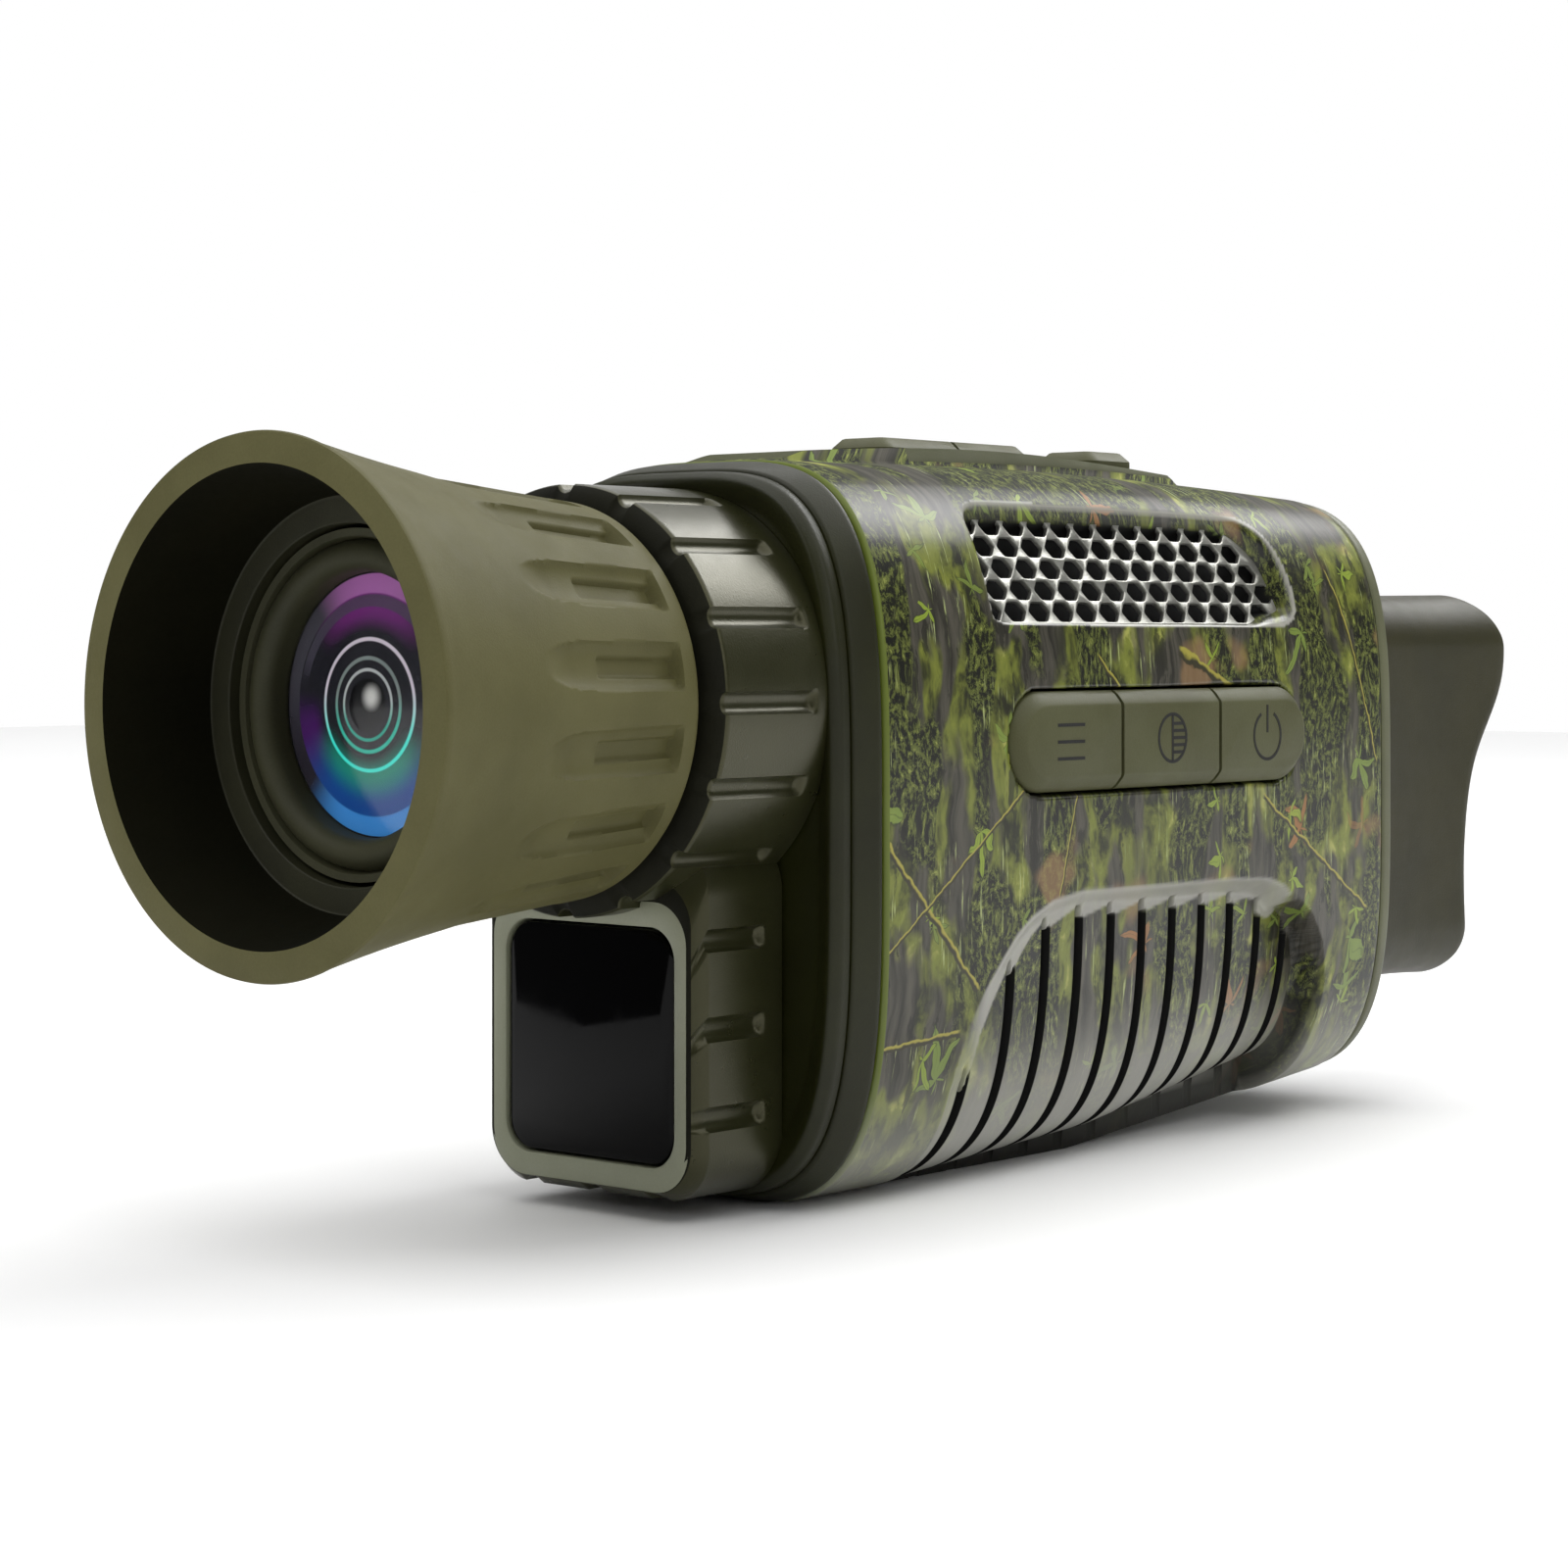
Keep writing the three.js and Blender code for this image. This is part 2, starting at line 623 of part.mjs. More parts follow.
// One key of the side bar: a bevelled face with a flange behind the shell.
function sideButton(index) {
  const last = KEY_EDGES_Y.length - 2;
  const [y0, y1] = [KEY_EDGES_Y[0], KEY_EDGES_Y[3]];
  const from = index === 0 ? y0 - 5 : KEY_EDGES_Y[index] + 0.15;
  const to = index === last ? y1 + 5 : KEY_EDGES_Y[index + 1] - 0.15;
  const face = solidOf(alongX(stadium(y0, y1, KEY_CENTRE_Z, KEY_HEIGHT), 19, KEY_FACE_X - 1));
  const top = solidOf(
    alongX(stadium(y0 + 1, y1 - 1, KEY_CENTRE_Z, KEY_HEIGHT - 2), 22, KEY_FACE_X),
  );
  const middle = solidOf(
    alongX(stadium(y0 + 0.4, y1 - 0.4, KEY_CENTRE_Z, KEY_HEIGHT - 0.8), 22, KEY_FACE_X - 0.5),
  );
  const slice = box(10, 30, from, to, -20, 10);
  return joined([face, middle, top]).intersect(slice);
}

function topKey(y0, y1, roundFront, roundRear) {
  const half = TOP_KEY_HALF_WIDTH;
  const shape = (inset) => {
    const front = roundFront ? y0 + inset : y0 - 5;
    const rear = roundRear ? y1 - inset : y1 + 5;
    return roundedRectangle(-half + inset, half - inset, front, rear, 2 - inset);
  };
  const layers = [
    solidOf(alongZ(shape(0), 19.8, TOP_KEY_TOP - 0.9)),
    solidOf(alongZ(shape(0.6), 20, TOP_KEY_TOP - 0.4)),
    solidOf(alongZ(shape(1.2), 20, TOP_KEY_TOP)),
  ];
  return joined(layers).intersect(box(-20, 20, y0, y1, 10, 40));
}

function sideKeyBoard() {
  const board = box(16.2, 17.4, 78, 132, -9, 0);
  const domes = [0, 1, 2].map((i) => {
    const y = (KEY_EDGES_Y[i] + KEY_EDGES_Y[i + 1]) / 2;
    return box(17.2, 17.8, y - 2.2, y + 2.2, -6.7, -2.3);
  });
  return joined([board, ...domes]);
}

function topKeyBoard() {
  const board = box(-7, 7, 67, 121, 16.8, 18);
  const domes = TOP_KEY_SPANS.map(([y0, y1]) => {
    const y = (y0 + y1) / 2;
    return box(-2.2, 2.2, y - 2.2, y + 2.2, 17.8, 18.6);
  });
  return joined([board, ...domes]);
}

// ---------------------------------------------------------------- sockets on the -X side

function portFlap() {
  const [y0, y1] = [BAY_Y[0] - 2.1, BAY_Y[1] + 2.1];
  return solidOf(alongX(stadium(y0, y1, BAY_CENTRE_Z, BAY_HEIGHT + 4.2), -22.6, -21.4));
}

function portBay() {
  const outer = box(-19.5, -14.4, 83.5, 124.5, BAY_CENTRE_Z - 7, BAY_CENTRE_Z + 7);
  const mouth = stadium(BAY_Y[0], BAY_Y[1], BAY_CENTRE_Z, BAY_HEIGHT);
  return outer
    .subtract(solidOf(alongX(mouth, -22, -15.6)))
    .subtract(box(-18, -13, 89.7, 99.3, BAY_CENTRE_Z - 2, BAY_CENTRE_Z + 2))
    .subtract(box(-18, -13, 104.7, 117.3, BAY_CENTRE_Z - 1.2, BAY_CENTRE_Z + 1.2));
}

function usbPort() {
  const shell = roundedRectangle(90, 99, BAY_CENTRE_Z - 1.6, BAY_CENTRE_Z + 1.6, 1.5);
  const mouth = roundedRectangle(90.4, 98.6, BAY_CENTRE_Z - 1.2, BAY_CENTRE_Z + 1.2, 1.1);
  return solidOf(alongX(shell, -15.4, -8.5))
    .subtract(solidOf(alongX(mouth, -20, -9.5)))
    .add(box(-14.5, -9, 91.4, 97.6, BAY_CENTRE_Z - 0.35, BAY_CENTRE_Z + 0.35));
}

function cardSocket() {
  return box(-14.1, 2.5, 104, 118, BAY_CENTRE_Z - 2.4, BAY_CENTRE_Z + 1.6)
    .subtract(box(-20, 1.6, 105.2, 116.8, BAY_CENTRE_Z - 0.8, BAY_CENTRE_Z + 0.8));
}

function memoryCard() {
  return solidOf(alongZ(polygon([
    [-16.2, 105.5],
    [-16.2, 116.5],
    [-1.2, 116.5],
    [-1.2, 108.2],
    [-3.6, 107.2],
    [-7, 107.2],
    [-8.4, 105.5],
  ].reverse()), BAY_CENTRE_Z - 0.4, BAY_CENTRE_Z + 0.4));
}

// ---------------------------------------------------------------- electronics and eyepiece

function sensorBoard() {
  return solidOf(alongY(roundedRectangle(-14, 14, -14, 14, 2), 64, 65.6));
}

function imageSensor() {
  return box(-4.6, 4.6, 62.2, 63.7, -3.6, 3.6);
}

function mainBoard() {
  return box(5.2, 6.8, 68, 132, -21, 15)
    .add(box(6.5, 8.6, 84, 98, -6, 8))
    .add(box(6.5, 8, 106, 114, -12, -4));
}

function battery() {
  const cell = new THREE.CylinderGeometry(BATTERY_RADIUS, BATTERY_RADIUS, BATTERY_LENGTH, 24);
  cell.translate(0, 98, -31.5);
  return solidOf(cell);
}

function speaker() {
  return box(9.4, 13.4, 90, 115, 7, 16.2);
}

function displayPanel() {
  return box(-14, 14, 134.4, 136, EYE_CENTRE_Z - 11, EYE_CENTRE_Z + 11);
}

function displayFrame() {
  const frame = roundedRectangle(-15, 15, EYE_CENTRE_Z - 13, EYE_CENTRE_Z + 13, 2);
  frame.holes.push(roundedRectangle(-12.6, 12.6, EYE_CENTRE_Z - 9.6, EYE_CENTRE_Z + 9.6, 1));
  return solidOf(alongY(frame, 136.4, 138.6));
}

function eyepieceBarrel() {
  return revolved([
    [15.2, 139],
    [15.2, 149],
    [14.2, 149],
    [14.2, 155.5],
    [12.4, 155.5],
    [12.4, 152],
    [13.4, 152],
    [13.4, 141],
    [12, 141],
    [12, 139],
  ], 32, EYE_CENTRE_Z);
}

function eyepieceLens() {
  return revolved([
    [0, 143.2],
    [6.5, 144],
    [13, 146.6],
    [13, 148],
    [12, 149.4],
    [6, 151],
    [0, 151.6],
  ], 32, EYE_CENTRE_Z);
}

function rearFrame() {
  const [y0, y1] = [SHELL_REAR_Y + GAP, BODY_REAR_Y];
  const plate = bodyBlock(y0, y1, (y) => (y > y1 - 0.1 ? 0.7 : 0.1), 3);
  const collar = solidOf(alongY(roundedRectangle(
    -16.2,
    16.2,
    EYE_CENTRE_Z - 20.1,
    EYE_CENTRE_Z + 20.1,
    5,
  ), y1 - 1, y1 + 4));
  const opening = revolved([[0, 145], [14.5, 145], [14.5, 160], [0, 160]], 32, EYE_CENTRE_Z);
  let frame = plate.add(collar).subtract(opening).subtract(BASE_CUT);
  for (const [x, z] of SCREW_PLACES) {
    const hole = revolved([[0, 140], [1.1, 140], [1.1, 151.2], [2.3, 151.2], [2.3, 160], [0, 160]], 12);
    frame = frame.subtract(hole.translate([x, 0, z]));
  }
  return frame;
}

function rearScrew(x, z) {
  const head = revolved([
    [0, 145.4],
    [0.8, 145.4],
    [0.8, 151.5],
    [2, 151.5],
    [2, 152.4],
    [0, 152.4],
  ], 12);
  const slot = box(-1.2, 1.2, 152, 153, -0.25, 0.25).add(box(-0.25, 0.25, 152, 153, -1.2, 1.2));
  return head.subtract(slot).translate([x, 0, z]);
}

function eyecup() {
  const [w, h, r] = [EYECUP_HALF_WIDTH, EYECUP_HALF_HEIGHT, EYECUP_RADIUS];
  const c = EYE_CENTRE_Z;
  const outer = solidOf(alongY(roundedRectangle(-w, w, c - h, c + h, r), 152.9, LENGTH));
  const t = EYECUP_WALL;
  const inner = roundedRectangle(-w + t, w - t, c - h + t, c + h - t, r - t);
  const bore = solidOf(alongY(inner, 150, LENGTH + 10));
  // Seen from the side, the brow reaches furthest back and the cheek side is scooped out.
  const profile = new THREE.Shape();
  profile.moveTo(150, 30);
  profile.lineTo(174.5, 30);
  profile.lineTo(174.5, 11.3);
  profile.quadraticCurveTo(183, 11, 184, 4.4);
  profile.quadraticCurveTo(184.2, 1, 181.8, -1.8);
  profile.bezierCurveTo(177.5, -6, 175.2, -8.5, 174.8, -12.4);
  profile.bezierCurveTo(174, -18, 173.4, -24, 174.2, -30.5);
  profile.quadraticCurveTo(174.2, -34, 169.5, -34.9);
  profile.lineTo(150, -60);
  return outer.subtract(bore).intersect(solidOf(alongX(profile, -40, 40)));
}

function tripodNut() {
  const ring = new THREE.Shape();
  ring.absarc(0, TRIPOD_Y, TRIPOD_NUT_RADIUS, 0, 2 * Math.PI);
  const bore = new THREE.Path();
  bore.absarc(0, TRIPOD_Y, TRIPOD_BORE_RADIUS, 0, 2 * Math.PI, true);
  ring.holes.push(bore);
  return solidOf(alongZ(ring, -AXIS_HEIGHT + 0.2, -AXIS_HEIGHT + 4.6));
}

// ---------------------------------------------------------------- nodes

add('focus_hood', focusHood(), plastic(OLIVE, 0.55));
add('lens_cell', lensCell(), plastic(0x3a3a2c, 0.5));
add('front_lens', frontLens(), plastic(GLASS, 0.05));
add('lens_retainer', lensRetainer(), plastic(BLACK, 0.4));
add('rear_lens', rearLens(), plastic(GLASS, 0.05));
add('guide_barrel', guideBarrel(), plastic(BLACK, 0.45));
add('focus_seal', focusSeal(), plastic(BLACK, 0.8));
add('front_housing', frontHousing(), plastic(OLIVE, 0.35));
add('lamp_bezel', lampBezel(), plastic(0x7d806b, 0.5));
add('lamp_window', lampWindow(), plastic(BLACK, 0.08));
add('lamp_lens', lampLens(), plastic(GLASS, 0.1));
add('lamp_led', lampLed(), plastic(0xd8d6c8, 0.3));
add('lamp_board', lampBoard(), plastic(CIRCUIT, 0.5));
add('front_cap', frontCap(), plastic(DARK_OLIVE, 0.45));
add('trim_ring', trimRing(), plastic(DARK_OLIVE, 0.4));
add('main_shell', mainShell(), plastic(CAMOUFLAGE, 0.35));
add('vent_mesh', ventMesh(), plastic(STEEL, 0.35, 0.9));
add('menu_button', sideButton(0), plastic(OLIVE, 0.5));
add('mode_button', sideButton(1), plastic(OLIVE, 0.5));
add('power_button', sideButton(2), plastic(OLIVE, 0.5));
add('side_key_board', sideKeyBoard(), plastic(CIRCUIT, 0.5));
add('zoom_in_key', topKey(...TOP_KEY_SPANS[0], true, false), plastic(OLIVE, 0.45));
add('zoom_out_key', topKey(...TOP_KEY_SPANS[1], false, true), plastic(OLIVE, 0.45));
add('record_key', topKey(...TOP_KEY_SPANS[2], true, true), plastic(OLIVE, 0.45));
add('top_key_board', topKeyBoard(), plastic(CIRCUIT, 0.5));
add('port_flap', portFlap(), plastic(RUBBER, 0.7));
add('port_bay', portBay(), plastic(BLACK, 0.5));
add('usb_port', usbPort(), plastic(STEEL, 0.35, 0.9));
add('card_socket', cardSocket(), plastic(STEEL, 0.35, 0.9));
add('memory_card', memoryCard(), plastic(BLACK, 0.5));
add('image_sensor', imageSensor(), plastic(0x23262e, 0.2));
add('sensor_board', sensorBoard(), plastic(CIRCUIT, 0.5));
add('main_board', mainBoard(), plastic(CIRCUIT, 0.5));
add('battery', battery(), plastic(0x2f4f86, 0.4));
add('speaker', speaker(), plastic(BLACK, 0.5));
add('display_panel', displayPanel(), plastic(0x14181c, 0.15));
add('display_frame', displayFrame(), plastic(BLACK, 0.5));
add('eyepiece_barrel', eyepieceBarrel(), plastic(BLACK, 0.4));
add('eyepiece_lens', eyepieceLens(), plastic(GLASS, 0.05));
add('rear_frame', rearFrame(), plastic(OLIVE, 0.4));
SCREW_PLACES.forEach(([x, z], i) => {
  add(`rear_screw_${i + 1}`, rearScrew(x, z), plastic(STEEL, 0.35, 0.9));
});
add('eyecup', eyecup(), plastic(RUBBER, 0.6));
add('tripod_nut', tripodNut(), plastic(BRASS, 0.3, 0.9));

export default part;
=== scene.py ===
import math

import bmesh
import bpy
import numpy as np
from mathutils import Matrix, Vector


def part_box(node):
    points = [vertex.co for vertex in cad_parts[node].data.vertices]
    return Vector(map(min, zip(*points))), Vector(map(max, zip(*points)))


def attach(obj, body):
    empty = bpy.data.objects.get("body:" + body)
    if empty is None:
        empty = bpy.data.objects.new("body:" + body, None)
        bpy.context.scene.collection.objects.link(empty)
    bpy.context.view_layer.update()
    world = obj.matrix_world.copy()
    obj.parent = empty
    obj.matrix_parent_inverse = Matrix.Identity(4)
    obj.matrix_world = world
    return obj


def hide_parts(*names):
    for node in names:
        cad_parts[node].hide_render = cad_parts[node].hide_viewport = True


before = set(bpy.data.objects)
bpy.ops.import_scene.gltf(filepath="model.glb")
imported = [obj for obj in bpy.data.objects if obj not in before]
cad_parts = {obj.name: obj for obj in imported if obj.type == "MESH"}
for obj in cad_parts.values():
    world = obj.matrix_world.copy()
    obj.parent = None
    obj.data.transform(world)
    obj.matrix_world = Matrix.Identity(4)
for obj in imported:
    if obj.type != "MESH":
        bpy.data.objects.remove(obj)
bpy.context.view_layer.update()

# Handheld night vision monocular. Lengths are in millimetres: X to the right of the optical axis,
# Y rearwards from the front rim, Z up from the optical axis. place() turns them into the frame's
# metres, and span() reads a CAD node's box in the same millimetres.

MM = 0.001
HOOD_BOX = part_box("focus_hood")
FRONT_RIM = HOOD_BOX[0][1] / MM
AXIS_HEIGHT = (HOOD_BOX[0][2] + HOOD_BOX[1][2]) / 2 / MM


def place(points):
    return (np.asarray(points, float) + (0, FRONT_RIM, AXIS_HEIGHT)) * MM


def span(node):
    low, high = (np.array(corner) / MM - (0, FRONT_RIM, AXIS_HEIGHT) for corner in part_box(node))
    return low, high


# ------------------------------------------------------------------ outlines and lofts

def circle(radius, count=160, centre=(0.0, 0.0)):
    angle = np.linspace(0, 2 * np.pi, count, endpoint=False)
    return np.stack([centre[0] + radius * np.cos(angle), centre[1] + radius * np.sin(angle)], 1)


def rounded_rectangle(low, high, radius, corner=12, side=1):
    """Anticlockwise, from the right end of the bottom side. Each side has side - 1 points inside."""
    low, high = np.array(low, float), np.array(high, float)
    radius = min(radius, *((high - low) / 2 - 0.01))
    centres = [
        (high[0] - radius, low[1] + radius, -90),
        (high[0] - radius, high[1] - radius, 0),
        (low[0] + radius, high[1] - radius, 90),
        (low[0] + radius, low[1] + radius, 180),
    ]
    points = []
    for k, (x, y, start) in enumerate(centres):
        for step in range(corner + 1):
            angle = math.radians(start + 90 * step / corner)
            points.append((x + radius * math.cos(angle), y + radius * math.sin(angle)))
        following = centres[(k + 1) % 4]
        turn = math.radians(start + 90)
        begin = np.array(points[-1])
        end = np.array(following[:2]) + radius * np.array([math.cos(turn), math.sin(turn)])
        for step in range(1, side):
            points.append(tuple(begin + (end - begin) * step / side))
    return np.array(points)


def softened(profile, radius, steps=4, closed=False):
    """The same line with its corners rounded off."""
    points = [Vector(p) for p in profile]
    result = []
    for i, corner in enumerate(points):
        if not closed and i in (0, len(points) - 1):
            result.append(tuple(corner))
            continue
        before = points[i - 1] - corner
        after = points[(i + 1) % len(points)] - corner
        start = corner + before.normalized() * min(radius, before.length * 0.45)
        end = corner + after.normalized() * min(radius, after.length * 0.45)
        for step in range(steps + 1):
            t = step / steps
            result.append(tuple(start.lerp(corner, t).lerp(corner.lerp(end, t), t)))
    return result


def facing(outline, distance, axis):
    """A flat outline as 3-D points: axis is the one that it is square to, at that distance."""
    return np.insert(np.asarray(outline, float), axis, distance, axis=1)


def inset_rings(low, high, radius, steps, axis, *counts):
    """Rounded rectangles square to the axis, one for each (inset, distance along it)."""
    rings = []
    for inset, distance in steps:
        outline = rounded_rectangle(np.add(low, inset), np.subtract(high, inset), radius - inset, *counts)
        rings.append(facing(outline, distance, axis))
    return rings


def loft(rings, closed=False):
    """Quads between rings with equal counts. An open loft is capped at both ends."""
    count = len(rings[0])
    index = np.arange(len(rings) * count).reshape(len(rings), count)
    if closed:
        index = np.concatenate([index, index[:1]])
    a, d = index[:-1], index[1:]
    faces = np.stack([a, np.roll(a, -1, 1), np.roll(d, -1, 1), d], -1).reshape(-1, 4).tolist()
    if not closed:
        faces += [index[0][::-1].tolist(), index[-1].tolist()]
    return np.concatenate(rings), faces


def turned(profile, count=160, centre_z=0.0, closed=True):
    """A profile of (radius, y) turned about the line x = 0, z = centre_z."""
    return loft([facing(circle(r, count, (0, centre_z)), y, 1) for r, y in profile], closed)


def joined(*parts):
    points, faces, start = [], [], 0
    for part_points, part_faces in parts:
        points.append(part_points)
        faces += [[v + start for v in face] for face in part_faces]
        start += len(part_points)
    return np.concatenate(points), faces


def make(name, solid, materials, index=None, sharp=40):
    points, faces = solid
    mesh = bpy.data.meshes.new(name)
    mesh.from_pydata(place(points).tolist(), [], faces)
    for material in materials:
        mesh.materials.append(material)
    if index is not None:
        mesh.polygons.foreach_set("material_index", index)
    body = bmesh.new()
    body.from_mesh(mesh)
    bmesh.ops.recalc_face_normals(body, faces=body.faces)
    body.to_mesh(mesh)
    body.free()
    mesh.shade_smooth()
    mesh.set_sharp_from_angle(angle=math.radians(sharp))
    obj = bpy.data.objects.new(name, mesh)
    bpy.context.scene.collection.objects.link(obj)
    return obj


def fit(obj, body, slot, *nodes):
    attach(obj, body)
    if nodes:
        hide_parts(*nodes)
    return obj


def cut(obj, cutter, bevel):
    """Takes the cutter out of the piece, bevels the new edges and leaves a plain mesh."""
    modifier = obj.modifiers.new("cut", "BOOLEAN")
    modifier.operation = "DIFFERENCE"
    modifier.solver = "EXACT"
    modifier.object = cutter
    rounding = obj.modifiers.new("rounding", "BEVEL")
    rounding.width = bevel * MM
    rounding.segments = 2
    rounding.limit_method = "ANGLE"
    rounding.angle_limit = math.radians(50)
    bpy.context.view_layer.update()
    result = obj.evaluated_get(bpy.context.evaluated_depsgraph_get())
    mesh = bpy.data.meshes.new_from_object(result)
    obj.modifiers.clear()
    obj.data = mesh
    mesh.shade_smooth()
    mesh.set_sharp_from_angle(angle=math.radians(40))
    bpy.data.objects.remove(cutter)


# ------------------------------------------------------------------ material nodes

def rgb(code):
    """A colour as seen on a screen, written as six hex digits, in linear light."""
    channels = [int(code[i:i + 2], 16) / 255 for i in (0, 2, 4)]
    linear = [c / 12.92 if c <= 0.04045 else ((c + 0.055) / 1.055) ** 2.4 for c in channels]
    return (*linear, 1.0)


class Nodes:
    """A material made by plain calls: each returns the socket that carries its result."""

    def __init__(self, name):
        self.material = bpy.data.materials.new(name)
        self.material.use_nodes = True
        self.tree = self.material.node_tree
        self.shader = self.tree.nodes["Principled BSDF"]

    def feed(self, socket, value):
        if isinstance(value, bpy.types.NodeSocket):
            self.tree.links.new(value, socket)
        else:
            socket.default_value = rgb(value) if isinstance(value, str) else value

    def node(self, kind, inputs, **settings):
        node = self.tree.nodes.new("ShaderNode" + kind)
        for key, value in settings.items():
            setattr(node, key, value)
        for key, value in inputs.items():
            self.feed(node.inputs[key], value)
        return node

    def set(self, **values):
        for key, value in values.items():
            self.feed(self.shader.inputs[key.replace("_", " ")], value)

    def here(self):
        """The object's own coordinates, in metres."""
        return self.node("TexCoord", {}).outputs["Object"]

    def printed(self):
        """Coordinates on the unrolled shell, in millimetres: along it and around it."""
        return self.node("Attribute", {}, attribute_name="wrap").outputs["Vector"]

    def math(self, operation, *values):
        return self.node("Math", dict(enumerate(values)), operation=operation).outputs[0]

    def add(self, a, b):
        return self.math("ADD", a, b)

    def sub(self, a, b):
        return self.math("SUBTRACT", a, b)

    def mul(self, a, b):
        return self.math("MULTIPLY", a, b)

    def length(self, a, b):
        return self.math("SQRT", self.add(self.mul(a, a), self.mul(b, b)))

    def vector(self, operation, *values):
        return self.node("VectorMath", dict(enumerate(values)), operation=operation).outputs[0]

    def split(self, vector):
        return self.node("SeparateXYZ", {0: vector}).outputs

    def noise(self, vector, scale, detail=2.0, roughness=0.5, distortion=0.0):
        inputs = {"Vector": vector, "Scale": scale, "Detail": detail}
        inputs.update({"Roughness": roughness, "Distortion": distortion})
        return self.node("TexNoise", inputs).outputs["Fac"]

    def smooth(self, value, low, high):
        """0 below low, 1 above high; low may be the larger one, which turns it over."""
        inputs = {"Value": value, "From Min": low, "From Max": high}
        return self.node("MapRange", inputs, interpolation_type="SMOOTHSTEP").outputs[0]

    def mix(self, factor, a, b):
        return self.node("Mix", {0: factor, 6: a, 7: b}, data_type="RGBA").outputs[2]

    def bump(self, height, distance):
        inputs = {"Height": height, "Distance": distance * MM, "Strength": 1.0}
        return self.node("Bump", inputs).outputs[0]


def moulded(name, colour, shade, roughness, grain=0.02, metallic=0.0, coat=0.0, specular=0.5,
            gleam="ffffff"):
    """Moulded plastic or rubber: uneven tone, fine grain, and a roughness that varies a little."""
    n = Nodes(name)
    here = n.here()
    clouds = n.noise(here, 90.0, 3.0)
    fine = n.noise(here, 5200.0, 2.0, 0.6)
    tone = n.add(n.mul(clouds, 0.75), n.mul(fine, 0.25))
    n.set(Base_Color=n.mix(n.smooth(tone, 0.3, 0.7), shade, colour))
    wear_and_low_sheen = n.mul(n.noise(here, 400.0, 4.0, 0.6), 0.16)
    n.set(Roughness=n.add(wear_and_low_sheen, roughness - 0.08), Metallic=metallic)
    n.set(Normal=n.bump(fine, grain), Coat_Weight=coat, Coat_Roughness=0.25)
    n.set(Specular_IOR_Level=specular, Specular_Tint=gleam)
    return n.material


def turned_metal(name, colour, shade, roughness):
    """Turned metal: fine rings about the optical axis."""
    n = Nodes(name)
    here = n.here()
    marks = n.noise(n.vector("MULTIPLY", here, (200.0, 6000.0, 200.0)), 1.0, 3.0)
    n.set(Base_Color=n.mix(n.smooth(marks, 0.35, 0.65), shade, colour), Metallic=1.0)
    n.set(Roughness=n.add(n.mul(marks, 0.2), roughness - 0.1))
    n.set(Normal=n.bump(marks, 0.006))
    return n.material


def board(name):
    """Circuit board: solder mask over a pattern of tracks."""
    n = Nodes(name)
    here = n.here()
    cells = n.node("TexVoronoi", {"Vector": here, "Scale": 420.0}, feature="DISTANCE_TO_EDGE")
    tracks = n.smooth(cells.outputs["Distance"], 0.09, 0.05)
    n.set(Base_Color=n.mix(tracks, "14532f", "2c7a48"), Roughness=0.4)
    n.set(Normal=n.bump(tracks, 0.03))
    return n.material


def glass(name, colour, alpha):
    n = Nodes(name)
    smears = n.noise(n.here(), 60.0, 3.0)
    n.set(Base_Color=n.mix(n.smooth(smears, 0.3, 0.7), colour, "20242c"))
    n.set(Roughness=n.add(n.mul(smears, 0.03), 0.02), Alpha=alpha)
    n.shader.inputs["IOR"].default_value = 1.6
    return n.material


# The lens's thin rings, painted reflections, each: radius, half width, colour above, colour below.
LENS_RING_REFLECTIONS = [
    (5.9, 0.24, "c9bfcb", "3fe0cf"),
    (4.2, 0.24, "77827f", "2fb39c"),
    (3.15, 0.2, "a9adad", "2a9a86"),
]


